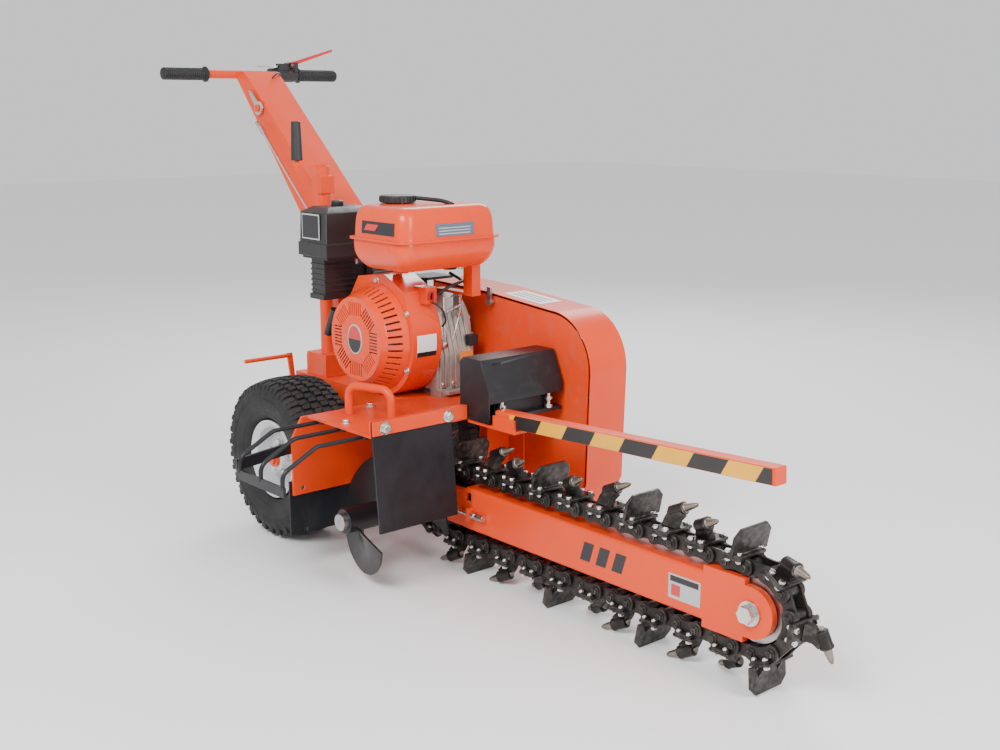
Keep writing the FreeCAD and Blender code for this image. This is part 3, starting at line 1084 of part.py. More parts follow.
def make_chain():
    p, t, inner = D["chain_pitch"], D["link_thick"], D["link_inner"] / 2
    pin, roller = D["pin_radius"], D["roller_radius"]
    gap = 0.4
    inner_plates = [waisted_plate(*sorted((s * inner, s * (inner + t)))) for s in (-1, 1)]
    outer_plates = [waisted_plate(*sorted((s * (inner + t + gap), s * (inner + 2 * t + gap)))) for s in (-1, 1)]
    bushes = [solid_rod(roller, (s * p / 2, -inner, 0), (s * p / 2, inner, 0)) for s in (-1, 1)]
    reach = inner + 2 * t + gap + 4.5
    pins = [join([solid_rod(pin, (s * p / 2, -reach, 0), (s * p / 2, reach, 0)),
                  hexagon(s * p / 2, 0, 7.5, -reach + 0.5, -reach + 4.5)]) for s in (-1, 1)]
    bores = [solid_rod(pin, (s * p / 2, -40, 0), (s * p / 2, 40, 0)) for s in (-1, 1)]
    inner_link = join(inner_plates + bushes).cut(bores)
    outer_link = [plate.cut(bores) for plate in outer_plates]
    even = [put_on_link(inner_link, k) for k in range(0, CHAIN_LINKS, 2)]
    odd = [put_on_link(piece, k) for k in range(1, CHAIN_LINKS, 2) for piece in outer_link + pins]
    feature("chain_links", group(even + odd))


def chain_tools():
    """Which tool each outer link carries, in a repeating order."""
    order = ("scraper", "left", "right", "scraper", "right", "left")
    return [(k, order[(k // 2) % len(order)]) for k in range(1, CHAIN_LINKS, 2)]


def make_chain_tools():
    h, p = D["link_height"] / 2, D["chain_pitch"]
    span = D["link_inner"] / 2 + 2 * D["link_thick"] + 0.4
    seat = solid_box(-p / 2 - 4, p / 2 + 4, -span - 6, span + 6, h, h + 6)
    w, top = D["scraper_width"] / 2, h + D["scraper_height"]
    blade = prism_x([(-w, h + 5), (w, h + 5), (w, top - 14), (w - 14, top), (-w + 14, top), (-w, top - 14)], 6, 12)
    blade.rotate(V(9, 0, h + 5), V(0, 1, 0), 12)
    scraper = join([seat, blade])
    feature("chain_scrapers", group([put_on_link(scraper, k) for k, tool in chain_tools() if tool == "scraper"]))

    def tooth(lean):
        body = prism_y([(-16, h + 5), (14, h + 5), (20, h + 34), (2, h + 38)], -10, 10)
        body.rotate(V(0, 0, h + 5), V(1, 0, 0), -lean)
        collar = solid_rod(11, (-12, 0, h + 30), (16, 0, h + 44))
        collar.rotate(V(0, 0, h + 5), V(1, 0, 0), -lean)
        return join([seat, body, collar])

    def bit(lean):
        tip = Part.makeCone(8.5, 3.5, 26, V(16, 0, h + 44), V(0.894, 0, 0.447))
        shank = solid_rod(6.5, (10, 0, h + 41), (17, 0, h + 44.5))
        both = join([tip, shank])
        both.rotate(V(0, 0, h + 5), V(1, 0, 0), -lean)
        return both

    lean = {"left": 26.0, "right": -26.0}
    teeth = [(k, lean[tool]) for k, tool in chain_tools() if tool in lean]
    feature("tooth_holders", group([put_on_link(tooth(a).cut(bit(a)), k) for k, a in teeth]))
    feature("digging_teeth", group([put_on_link(bit(a), k) for k, a in teeth]))


def make_sprocket():
    """Toothed wheel inside the chain; its tooth gaps follow the rollers."""
    x, z, y, p = D["sprocket_x"], D["boom_z"], D["boom_y"], D["chain_pitch"]
    r, half = pitch_radius(), D["link_inner"] / 2 - 3
    wheel = solid_rod(r + 6, (x, y - half, z), (x, y + half, z))
    gaps = []
    seats = [math.pi / 2 + 2 * math.pi * k / SPROCKET_TEETH for k in range(SPROCKET_TEETH)]
    centres = [(x + r * math.cos(a), z + r * math.sin(a)) for a in seats]
    centres += [chain_frame(k * p)[:2] for k in (1, 2, -6, -7)]
    for fx, fz in centres:
        angle = math.atan2(fz - z, fx - x)
        for out in (0, 12):
            gx, gz = fx + out * math.cos(angle), fz + out * math.sin(angle)
            gaps.append(solid_rod(D["roller_radius"] + 0.3, (gx, y - 30, gz), (gx, y + 30, gz)))
    hub = solid_rod(30, (x, y - 22, z), (x, y + 22, z))
    wheel = join([wheel.cut(gaps), hub]).cut(solid_rod(D["shaft_radius"] + 0.05, (x, y - 40, z), (x, y + 40, z)))
    feature("drive_sprocket", wheel)


def make_hazard_bar():
    """Striped square tube above the chain, rising slightly towards its tip, on a bracket block."""
    x0, x1, s, z, y = D["bar_root_x"], D["bar_tip_x"], D["bar_side"], D["hazard_z"], D["boom_y"] - 30
    tube = solid_box(x0, x1, y, y + s, z, z + s)
    tube = tube.makeFillet(3, [e for e in tube.Edges if abs(e.tangentAt(0).x) > 0.9])
    inside = solid_box(x0 - 1, x1 - 2, y + 2.5, y + s - 2.5, z + 2.5, z + s - 2.5)
    for piece in (tube, inside):
        piece.rotate(V(x0, y, z), V(0, 1, 0), -D["hazard_rise"])
    tube = tube.cut(inside)
    block = solid_box(x0 - 4, x0 + 62, y - 5, y - 0.5, z - 4, z + 22)
    arm = solid_box(D["deck_front_x"] + 0.2, x0 + 62, y - 5, y + s + 4, z - 7, z - 0.6)
    feature("hazard_bar", group([tube, join([block, arm])]))


def make_fasteners():
    """Bolts of the frame: hexagon heads with washers, each a solid of its own."""
    top, r = D["deck_top"], D["bolt_radius"]
    bolts = []

    def upright(x, y, z, length, size=8.0):
        head = Part.makeCylinder(size, 6, V(x, y, z + 1.6))
        washer = Part.makeCylinder(size + 3, 1.5, V(x, y, z + 0.1))
        shank = Part.makeCylinder(r, length, V(x, y, z - length + 2))
        return join([head, washer, shank])

    for y in STRIP_BOLTS_Y:
        x = D["deck_front_x"] + D["flap_thick"] + D["strip_thick"]
        bolts.append(join([solid_rod(8.5, (x, y, top + 14), (x + 5, y, top + 14)),
                           solid_rod(r, (x - D["flap_thick"] - D["strip_thick"], y, top + 14), (x + 3, y, top + 14))]))
    for y in COVER_STUDS_Y:
        x = D["jackshaft_x"] + 36
        bolts.append(join([Part.makeCylinder(4.5, 46, V(x, y, top)), Part.makeCylinder(9, 7, V(x, y, top + 8.1)),
                           Part.makeCylinder(9, 6, V(x, y, top + 26))]))
    feature("frame_bolts", group(bolts + FASTENERS))


# ---------------------------------------------------------------- the whole machine

def build():
    for make in (make_main_deck, make_frame_rails, make_rear_plate, make_rear_flap, make_front_flap,
                 make_front_strip, make_lift_handle, make_auger_guard, make_handle_column,
                 make_handlebar, make_grips, make_levers, make_throttle_cable, make_clutch_parts, make_clutch_cable,
                 make_wheels,
                 make_carriage, make_jack, make_foot_pedal, make_crankcase, make_cylinder, make_muffler,
                 make_air_cleaner, make_fan_shroud, make_crankshaft, make_fuel_tank,
                 make_engine_small_parts, make_belt_guard, make_drive, make_bearings, make_auger, make_boom,
                 make_chain, make_chain_tools, make_sprocket, make_hazard_bar, make_fasteners):
        make()
    doc.recompute()


def centre_on_origin():
    """Moves every sub-part so that the whole stands on z = 0, centred in plan."""
    whole = FreeCAD.BoundBox()
    for node in NODES:
        whole.add(node.Shape.BoundBox)
    D["shift_x"], D["shift_y"] = -whole.Center.x, -whole.Center.y
    row = {alias: i for i, alias in enumerate(DIMS, start=1)}
    for alias in ("shift_x", "shift_y"):
        sheet.set(f"B{row[alias]}", f"{D[alias]:.6f}")
    for node in NODES:
        if node.TypeId == "Part::Feature":
            node.Placement = FreeCAD.Placement(V(D["shift_x"], D["shift_y"], 0), FreeCAD.Rotation())
    doc.recompute()
    print(f"shift {D['shift_x']:.3f} {D['shift_y']:.3f}, height {whole.ZMax:.1f}, lowest {whole.ZMin:.3f}")
    print(f"length {whole.XLength:.1f}, width {whole.YLength:.1f}")


def check_and_write():
    labels = [node.Label for node in NODES]
    if len(set(labels)) != len(labels) or len(labels) > 60:
        print(f"WARNING: {len(labels)} nodes")
    for obj in doc.Objects:
        bad = [s for s in obj.State if s in ("Invalid", "Error")]
        if bad:
            raise RuntimeError(f"{obj.Name} is {bad}")
    for node in NODES:
        if node.Shape.isNull() or not node.Shape.isValid():
            raise RuntimeError(f"{node.Label} has no valid shape")
    os.makedirs("parts", exist_ok=True)
    for node in NODES:
        node.Shape.exportStep(f"parts/{node.Label}.step")
    print(len(labels), "sub-parts written")


build()
centre_on_origin()
check_and_write()
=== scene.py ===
import json
import math

import bmesh
import bpy
from mathutils import Matrix, Vector

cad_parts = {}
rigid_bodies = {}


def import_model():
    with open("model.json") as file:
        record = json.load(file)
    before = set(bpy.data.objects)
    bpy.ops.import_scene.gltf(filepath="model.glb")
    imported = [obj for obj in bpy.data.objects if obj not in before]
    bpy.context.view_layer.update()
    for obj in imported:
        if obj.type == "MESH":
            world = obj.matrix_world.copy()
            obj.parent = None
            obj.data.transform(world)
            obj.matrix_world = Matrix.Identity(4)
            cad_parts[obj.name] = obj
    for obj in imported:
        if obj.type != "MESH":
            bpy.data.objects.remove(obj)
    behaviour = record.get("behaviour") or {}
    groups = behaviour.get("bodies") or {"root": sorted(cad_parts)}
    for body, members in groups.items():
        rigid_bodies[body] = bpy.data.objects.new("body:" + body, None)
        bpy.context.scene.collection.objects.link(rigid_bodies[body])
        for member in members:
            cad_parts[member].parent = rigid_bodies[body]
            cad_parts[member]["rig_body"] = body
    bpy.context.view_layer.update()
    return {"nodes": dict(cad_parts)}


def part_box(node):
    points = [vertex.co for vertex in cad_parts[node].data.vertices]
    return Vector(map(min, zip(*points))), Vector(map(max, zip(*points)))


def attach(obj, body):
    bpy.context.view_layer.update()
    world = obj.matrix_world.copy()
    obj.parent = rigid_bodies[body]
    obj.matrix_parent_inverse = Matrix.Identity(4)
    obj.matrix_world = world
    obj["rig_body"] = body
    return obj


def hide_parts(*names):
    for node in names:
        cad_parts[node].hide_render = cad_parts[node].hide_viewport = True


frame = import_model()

MM = 0.001


# ------------------------------------------------------------ places read from the frame

def centre_of(*nodes):
    """Middle of the box round some CAD nodes."""
    boxes = [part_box(node) for node in nodes]
    low = Vector([min(b[0][i] for b in boxes) for i in range(3)])
    high = Vector([max(b[1][i] for b in boxes) for i in range(3)])
    return (low + high) / 2


AXLE = centre_of("tyre_left", "tyre_right")
ORIGIN = Vector((AXLE.x, AXLE.y, 0.0))     # on the ground under the middle of the axle


def at(x, y, z):
    """A point given in millimetres from the ground under the axle."""
    return ORIGIN + Vector((x, y, z)) * MM


def local(point):
    """The same millimetres, read back from a point of the frame."""
    return (point - ORIGIN) / MM


SPROCKET = local(centre_of("drive_sprocket"))
NOSE = local(centre_of("nose_roller"))
BOOM_Y = NOSE.y
BOOM_FACE = BOOM_Y - 30.0                  # the boom's face towards the camera
CRANK_X, CRANK_Z = 194, 477                # the crankshaft's centre line
DECK_TOP = 345.0


def circle(count):
    """Angles evenly spaced round a full turn."""
    return [2 * math.pi * k / count for k in range(count)]


def round_crank(radius, turn, height=None):
    """X and Z of a point at an angle round the crankshaft; height makes the circle an oval."""
    return CRANK_X + radius * math.cos(turn), CRANK_Z + (height or radius) * math.sin(turn)


# ------------------------------------------------------------ camera, light and floor

CAMERA_AT = (2484.8, -1739.7, 982.3)
CAMERA_TURN, CAMERA_DIP = math.radians(49.2), math.radians(12.0)
LENS_MM, SENSOR_MM = 46.1, 36.0


def make_camera():
    data = bpy.data.cameras.new("camera")
    cam = bpy.data.objects.new("camera", data)
    bpy.context.scene.collection.objects.link(cam)
    data.sensor_width = SENSOR_MM
    data.lens = LENS_MM
    cam.location = at(*CAMERA_AT)
    level = math.cos(CAMERA_DIP)
    look = Vector((-math.sin(CAMERA_TURN) * level, math.cos(CAMERA_TURN) * level, -math.sin(CAMERA_DIP)))
    cam.rotation_mode = "QUATERNION"
    cam.rotation_quaternion = look.to_track_quat("-Z", "Y")
    bpy.context.scene.camera = cam


def area_light(name, place, target, size, watts, colour=(1, 1, 1)):
    data = bpy.data.lights.new(name, "AREA")
    data.shape, data.size, data.size_y = "RECTANGLE", size[0], size[1]
    data.energy, data.color = watts, colour
    lamp = bpy.data.objects.new(name, data)
    bpy.context.scene.collection.objects.link(lamp)
    lamp.location = place
    lamp.rotation_mode = "QUATERNION"
    lamp.rotation_quaternion = (target - place).to_track_quat("-Z", "Y")


def make_stage():
    """White world, a pale floor, and large soft lamps overhead and to both sides."""
    world = bpy.data.worlds.new("studio")
    world.use_nodes = True
    world.node_tree.nodes["Background"].inputs["Color"].default_value = (1.0, 1.0, 1.0, 1.0)
    world.node_tree.nodes["Background"].inputs["Strength"].default_value = 0.92
    bpy.context.scene.world = world
    middle = at(450, -50, 450)
    area_light("key", at(1500, -2600, 2600), middle, (1.6, 1.2), 120)
    area_light("front_fill", at(3300, 300, 1700), middle, (1.4, 1.8), 60)
    area_light("back_rim", at(-1500, 2300, 2500), middle, (2.0, 1.2), 60)
    mesh = bpy.data.meshes.new("floor")
    half = 14.0
    corners = [(-half, -half, 0), (half, -half, 0), (half, half, 0), (-half, half, 0)]
    mesh.from_pydata(corners, [], [(0, 1, 2, 3)])
    floor = bpy.data.objects.new("floor", mesh)
    bpy.context.scene.collection.objects.link(floor)
    floor.location.z = -0.0005
    mesh.materials.append(plain("floor_white", (0.92, 0.92, 0.92), 0.75))


# ------------------------------------------------------------ materials

def plain(name, colour, rough):
    mat = bpy.data.materials.new(name)
    mat.use_nodes = True
    shader = mat.node_tree.nodes["Principled BSDF"]
    shader.inputs["Base Color"].default_value = (*colour, 1)
    shader.inputs["Roughness"].default_value = rough
    return mat


class Surface:
    """Small helper for building one procedural material."""

    def __init__(self, name, metallic=0.0, coat=0.0, coat_rough=0.1, specular=0.5):
        self.mat = bpy.data.materials.new(name)
        self.mat.use_nodes = True
        self.tree = self.mat.node_tree
        self.shader = self.tree.nodes["Principled BSDF"]
        self.shader.inputs["Metallic"].default_value = metallic
        self.shader.inputs["Coat Weight"].default_value = coat
        self.shader.inputs["Coat Roughness"].default_value = coat_rough
        self.shader.inputs["Specular IOR Level"].default_value = specular
        self.coords = self.node("ShaderNodeTexCoord").outputs["Object"]

    def node(self, kind, **values):
        made = self.tree.nodes.new(kind)
        for key, value in values.items():
            if key in made.inputs:
                made.inputs[key].default_value = value
            else:
                setattr(made, key, value)
        return made

    def link(self, a, b):
        self.tree.links.new(a, b)

    def noise(self, scale, detail=4.0, rough=0.55):
        made = self.node("ShaderNodeTexNoise", Scale=scale, Detail=detail, Roughness=rough)
        self.link(self.coords, made.inputs["Vector"])
        return made.outputs["Fac"]

    def ramp(self, factor, stops):
        made = self.node("ShaderNodeValToRGB")
        ramp = made.color_ramp
        while len(ramp.elements) < len(stops):
            ramp.elements.new(0.5)
        for element, (place, colour) in zip(ramp.elements, stops):
            element.position = place
            element.color = (*colour, 1)
        self.link(factor, made.inputs["Fac"])
        return made.outputs["Color"]

    def grey(self, factor, low, high, dark, light):
        """A value that goes from dark to light as factor goes from low to high."""
        made = self.node("ShaderNodeMapRange")
        for key, value in (("From Min", low), ("From Max", high), ("To Min", dark), ("To Max", light)):
            made.inputs[key].default_value = value
        self.link(factor, made.inputs["Value"])
        return made.outputs["Result"]

    def mix(self, factor, a, b):
        made = self.node("ShaderNodeMix", data_type="RGBA")
        self.link(factor, made.inputs["Factor"])
        for socket, value in ((made.inputs[6], a), (made.inputs[7], b)):
            if isinstance(value, tuple):
                socket.default_value = (*value, 1)
            else:
                self.link(value, socket)
        return made.outputs[2]

    def edges(self, low, high):
        """Near 1 on outer edges, 0 on flats: where paint wears."""
        return self.grey(self.node("ShaderNodeNewGeometry").outputs["Pointiness"], low, high, 0, 1)

    def times(self, a, b):
        made = self.node("ShaderNodeMath", operation="MULTIPLY")
        self.link(a, made.inputs[0])
        self.link(b, made.inputs[1])
        return made.outputs[0]

    def colour(self, value):
        self.link(value, self.shader.inputs["Base Color"])

    def rough(self, value):
        self.link(value, self.shader.inputs["Roughness"])

    def bump(self, *layers):
        """Bumps stacked from (height socket, strength, distance)."""
        last = None
        for height, strength, distance in layers:
            made = self.node("ShaderNodeBump", Strength=strength, Distance=distance)
            self.link(height, made.inputs["Height"])
            if last:
                self.link(last, made.inputs["Normal"])
            last = made.outputs["Normal"]
        self.link(last, self.shader.inputs["Normal"])


def painted(name, base, dark, wear=(0.16, 0.12, 0.10), coat=0.12, rough=0.36, wear_amount=0.5):
    """Sprayed enamel: slight colour drift, orange peel, rubbed edges and a little dust."""
    s = Surface(name, coat=coat, coat_rough=0.14, specular=0.28)
    drift = s.ramp(s.noise(3.0, 3), [(0.35, dark), (0.65, base)])
    worn = s.times(s.edges(0.53, 0.60), s.grey(s.noise(38.0, 6), 0.5, 0.72, 0.0, wear_amount))
    s.colour(s.mix(worn, drift, wear))
    s.rough(s.grey(s.noise(9.0, 5), 0.3, 0.75, rough - 0.05, rough + 0.13))
    s.bump((s.noise(420.0, 2), 0.035, 0.0006), (s.noise(14.0, 2), 0.05, 0.002))
    return s.mat


def bare_metal(name, tone, rough=0.3, stain=0.7, scale=60.0):
    s = Surface(name, metallic=1.0)
    dark = tuple(c * stain for c in tone)
    s.colour(s.ramp(s.noise(scale * 0.3, 6), [(0.3, dark), (0.62, tone)]))
    s.rough(s.grey(s.noise(scale, 5), 0.3, 0.7, rough - 0.08, rough + 0.16))
    s.bump((s.noise(scale * 3, 3), 0.06, 0.0004))
    return s.mat


def cast_metal(name, tone, dark):
    s = Surface(name, metallic=0.75)
    s.colour(s.ramp(s.noise(12.0, 8, 0.65), [(0.32, dark), (0.6, tone)]))
    s.rough(s.grey(s.noise(30.0, 6), 0.3, 0.7, 0.38, 0.6))
    s.bump((s.noise(520.0, 3), 0.25, 0.0004), (s.noise(60.0, 3), 0.08, 0.0008))
    return s.mat


def dark_steel(name):
    """Oiled, blackened chain steel with brown dust and bright rubbed edges."""
    s = Surface(name, metallic=0.65, coat=0.12, coat_rough=0.3)
    base = s.ramp(s.noise(26.0, 8, 0.62), [(0.3, (0.012, 0.010, 0.009)), (0.55, (0.028, 0.024, 0.022)),
                                           (0.75, (0.060, 0.046, 0.036))])
    worn = s.times(s.edges(0.53, 0.62), s.grey(s.noise(90.0, 4), 0.42, 0.62, 0.0, 0.75))
    s.colour(s.mix(worn, base, (0.20, 0.18, 0.165)))
    s.rough(s.grey(s.noise(48.0, 6), 0.3, 0.7, 0.28, 0.58))
    s.bump((s.noise(340.0, 4), 0.22, 0.0005), (s.noise(52.0, 3), 0.12, 0.001))
    return s.mat


def tyre_rubber(name):
    s = Surface(name, specular=0.35)
    dust = s.grey(s.noise(7.0, 6, 0.6), 0.48, 0.72, 0.0, 0.5)
    s.colour(s.mix(dust, (0.016, 0.016, 0.017), (0.060, 0.056, 0.052)))
    s.rough(s.grey(s.noise(22.0, 5), 0.3, 0.7, 0.55, 0.8))
    s.bump((s.noise(260.0, 4), 0.16, 0.0005))
    return s.mat


def soft_rubber(name, tone=(0.014, 0.014, 0.015), rough=0.5):
    s = Surface(name, specular=0.4)
    dark, light = (tuple(c * share for c in tone) for share in (0.7, 1.5))
    s.colour(s.ramp(s.noise(10.0, 4), [(0.35, dark), (0.7, light)]))
    s.rough(s.grey(s.noise(34.0, 4), 0.3, 0.7, rough - 0.08, rough + 0.14))
    s.bump((s.noise(300.0, 3), 0.10, 0.0004))
    return s.mat


def moulded(name, tone, rough=0.42, grain=0.12, coat=0.0):
    """Moulded plastic with a fine spark-eroded grain."""
    s = Surface(name, coat=coat)
    s.colour(s.ramp(s.noise(6.0, 3), [(0.35, tuple(c * 0.82 for c in tone)), (0.7, tone)]))
    s.rough(s.grey(s.noise(40.0, 4), 0.3, 0.7, rough - 0.05, rough + 0.1))
    s.bump((s.noise(900.0, 2), grain, 0.0003))
    return s.mat


ORANGE, ORANGE_DEEP = (0.800, 0.060, 0.006), (0.740, 0.048, 0.004)


def make_materials():
    made = {
        "orange_paint": painted("orange_enamel", ORANGE, ORANGE_DEEP, wear=(0.35, 0.16, 0.10),
                                wear_amount=0.35),
        "tank_paint": painted("orange_gloss", ORANGE, ORANGE_DEEP, coat=0.3, rough=0.26, wear_amount=0.1),
        "black_paint": painted("black_enamel", (0.013, 0.013, 0.015), (0.010, 0.010, 0.012),
                               wear=(0.16, 0.155, 0.15), wear_amount=0.12),
        "steel": bare_metal("turned_steel", (0.52, 0.51, 0.50), 0.32),
        "zinc": bare_metal("zinc_plate", (0.72, 0.71, 0.68), 0.24, stain=0.8, scale=90.0),
        "chain_steel": dark_steel("oiled_chain_steel"),
        "carbide": bare_metal("worn_tooth_steel", (0.30, 0.26, 0.22), 0.4, stain=0.45, scale=120.0),
        "tip": bare_metal("carbide_tip", (0.27, 0.21, 0.15), 0.38, stain=0.6, scale=160.0),
        "rim_silver": painted("silver_enamel", (0.62, 0.63, 0.65), (0.52, 0.53, 0.55), coat=0.3, rough=0.3,
                              wear=(0.3, 0.3, 0.3), wear_amount=0.2),
        "tyre": tyre_rubber("tyre_rubber"),
        "rubber": soft_rubber("grip_rubber"),
        "flap_rubber": soft_rubber("flap_rubber", (0.006, 0.006, 0.009), 0.5),
        "belt_rubber": soft_rubber("belt_rubber", (0.02, 0.02, 0.02), 0.7),
        "black_plastic": moulded("black_plastic", (0.018, 0.018, 0.019)),
        "red_plastic": moulded("red_plastic", (0.62, 0.018, 0.022), 0.3, 0.05, coat=0.3),
        "orange_plastic": moulded("orange_plastic", (0.86, 0.24, 0.012), 0.32, 0.05, coat=0.2),
        "aluminium": cast_metal("cast_aluminium", (0.56, 0.54, 0.50), (0.34, 0.32, 0.29)),
        "label_white": plain("label_white", (0.78, 0.78, 0.78), 0.4),
        "label_black": plain("label_black", (0.015, 0.015, 0.018), 0.35),
        "label_grey": plain("label_grey", (0.10, 0.12, 0.17), 0.4),
        "label_silver": plain("label_silver", (0.45, 0.45, 0.47), 0.35),
        "label_red": plain("label_red", (0.60, 0.03, 0.03), 0.35),
        "tape_yellow": moulded("tape_yellow", (0.92, 0.42, 0.010), 0.35, 0.03, coat=0.2),
        "tape_black": moulded("tape_black", (0.016, 0.013, 0.012), 0.4, 0.03, coat=0.15),
    }
    return made


MATERIALS = make_materials()


# ------------------------------------------------------------ mesh helpers

class Shape:
    """Collects solids, given in millimetres, into one mesh."""

    def __init__(self, name):
        self.name, self.bm, self.turn = name, bmesh.new(), Matrix.Identity(4)

    def add(self, points, faces):
        verts = [self.bm.verts.new(self.turn @ Vector(p)) for p in points]
        for face in faces:
            try:
                self.bm.faces.new([verts[i] for i in face])
            except ValueError:
                pass

    def box(self, x0, x1, y0, y1, z0, z1):
        points = [(x, y, z) for z in (z0, z1) for y in (y0, y1) for x in (x0, x1)]
        self.add(points, [(0, 2, 3, 1), (4, 5, 7, 6), (0, 1, 5, 4), (2, 6, 7, 3), (0, 4, 6, 2), (1, 3, 7, 5)])

    def rings(self, rings, closed=False):
        """Skin over a list of rings that all have the same number of points."""
        count, points = len(rings[0]), [p for ring in rings for p in ring]
        faces = []
        for start in range(0, (len(rings) - 1) * count, count):
            above = start + count
            faces += [(start + i, start + (i + 1) % count, above + (i + 1) % count, above + i)
                      for i in range(count)]
        if closed:
            last = (len(rings) - 1) * count
            faces += [(last + i, last + (i + 1) % count, (i + 1) % count, i) for i in range(count)]
        else:
            faces += [tuple(range(count))[::-1], tuple(range(len(points) - count, len(points)))]
        self.add(points, faces)

    def rod(self, start, end, radius, sides=20):
        a, b = Vector(start), Vector(end)
        self.lathe(a, b - a, [(0, radius), ((b - a).length, radius)], sides)

    def lathe(self, base, axis, profile, sides=32):
        """A profile of (along, radius) spun round an axis; its ends are capped."""
        base, axis = Vector(base), Vector(axis).normalized()
        u = axis.orthogonal().normalized()
        v = axis.cross(u)
        rings = []
        for along, radius in profile:
            rings.append([base + axis * along + (u * math.cos(t) + v * math.sin(t)) * max(radius, 0.01)
                          for t in circle(sides)])
        self.rings(rings)

    def ring_lathe(self, base, axis, profile, sides=48):
        """The same with a closed profile: a hollow ring."""
        base, axis = Vector(base), Vector(axis).normalized()
        u = axis.orthogonal().normalized()
        v = axis.cross(u)
        rings = []
        for along, radius in profile:
            rings.append([base + axis * along + (u * math.cos(t) + v * math.sin(t)) * radius
                          for t in circle(sides)])
        self.rings(rings, closed=True)

    def prism(self, outline, low, high, plane="xz"):
        """A flat outline given thickness: plane xz runs along y, xy along z, yz along x."""
        def put(p, h):
            return {"xz": (p[0], h, p[1]), "xy": (p[0], p[1], h), "yz": (h, p[0], p[1])}[plane]
        self.rings([[put(p, low) for p in outline], [put(p, high) for p in outline]])

    def hex_head(self, place, axis, across, height):
        base, axis = Vector(place), Vector(axis).normalized()
        r = across / math.sqrt(3)
        self.lathe(base, axis, [(0, r), (height * 0.85, r), (height, r * 0.86)], 6)

    def bolt(self, place, axis, across=13.0, height=6.0, washer=True, stud=0.0):
        """Hexagon head, washer under it and, for a nut, the stud's end standing out of it."""
        base, axis = Vector(place), Vector(axis).normalized()
        lift = 0.0
        if washer:
            self.lathe(base, axis, [(0, across * 0.82), (1.6, across * 0.82)], 24)
            lift = 1.6
        self.hex_head(base + axis * lift, axis, across, height)
        if stud:
            nut_top = lift + height
            self.rod(base + axis * nut_top, base + axis * (nut_top + stud), across * 0.28, sides=14)

    def tube(self, points, radius, sides=12, steps=8):
        """A round bar along a smoothed path."""
        path = [Vector(p) for p in points]
        if len(path) > 2:
            fine = []
            for i in range(len(path) - 1):
                p0, p1, p2 = path[max(i - 1, 0)], path[i], path[i + 1]
                p3 = path[min(i + 2, len(path) - 1)]
                for k in range(steps):
                    t = k / steps
                    fine.append(0.5 * ((2 * p1) + (p2 - p0) * t + (2 * p0 - 5 * p1 + 4 * p2 - p3) * t * t
                                       + (3 * p1 - 3 * p2 + p3 - p0) * t ** 3))
            path = fine + [path[-1]]
        rings, side = [], None
        for i, p in enumerate(path):
            along = (path[min(i + 1, len(path) - 1)] - path[max(i - 1, 0)]).normalized()
            side = along.orthogonal() if side is None else side - along * side.dot(along)
            side.normalize()
            other = along.cross(side)
            rings.append([p + (side * math.cos(t) + other * math.sin(t)) * radius
                          for t in circle(sides)])
        self.rings(rings)

    def done(self, material, body, bevel=0.8, segments=2, angle=35.0, replaces=()):
        bmesh.ops.recalc_face_normals(self.bm, faces=self.bm.faces)
        mesh = bpy.data.meshes.new(self.name)
        self.bm.to_mesh(mesh)
        self.bm.free()
        mesh.transform(Matrix.Translation(ORIGIN) @ Matrix.Scale(MM, 4))
        obj = bpy.data.objects.new(self.name, mesh)
        bpy.context.scene.collection.objects.link(obj)
        return dress(obj, material, body, bevel, segments, angle, replaces)


def dress(obj, material, body, bevel, segments, angle, replaces):
    """Material, rounded edges, smooth shading, and the body it rides on."""
    mesh = obj.data
    mesh.materials.clear()
    mesh.materials.append(MATERIALS[material])
    for face in mesh.polygons:
        face.use_smooth = True
    mesh.set_sharp_from_angle(angle=math.radians(angle))
    if bevel:
        made = obj.modifiers.new("rounded_edges", "BEVEL")
        made.width, made.segments = bevel * MM, segments
        made.limit_method, made.angle_limit = "ANGLE", math.radians(angle)
        made.use_clamp_overlap, made.harden_normals = True, False
        made.miter_outer = "MITER_ARC"
    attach(obj, body)
    if replaces:
        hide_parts(*replaces)
    return obj


PLATES_WITH_HOLES = ("belt_guard_back", "recoil_cover")


def refined(node, material, bevel, segments=2, angle=32.0):
    """A CAD node shown with rounded edges: its own shape, cleaned, in a new piece."""
    source = frame["nodes"][node]
    mesh = source.data.copy()
    bm = bmesh.new()
    bm.from_mesh(mesh)
    bmesh.ops.remove_doubles(bm, verts=bm.verts, dist=2e-6)
    if node not in PLATES_WITH_HOLES:
        bmesh.ops.dissolve_limit(bm, angle_limit=math.radians(0.6), verts=bm.verts, edges=bm.edges)
    bm.to_mesh(mesh)
    bm.free()
    if "custom_normal" in mesh.attributes:
        mesh.attributes.remove(mesh.attributes["custom_normal"])
    obj = bpy.data.objects.new(node + "_finished", mesh)
    bpy.context.scene.collection.objects.link(obj)
    return dress(obj, material, source["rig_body"], bevel, segments, angle, (node,))


# ------------------------------------------------------------ CAD nodes shown with finished edges

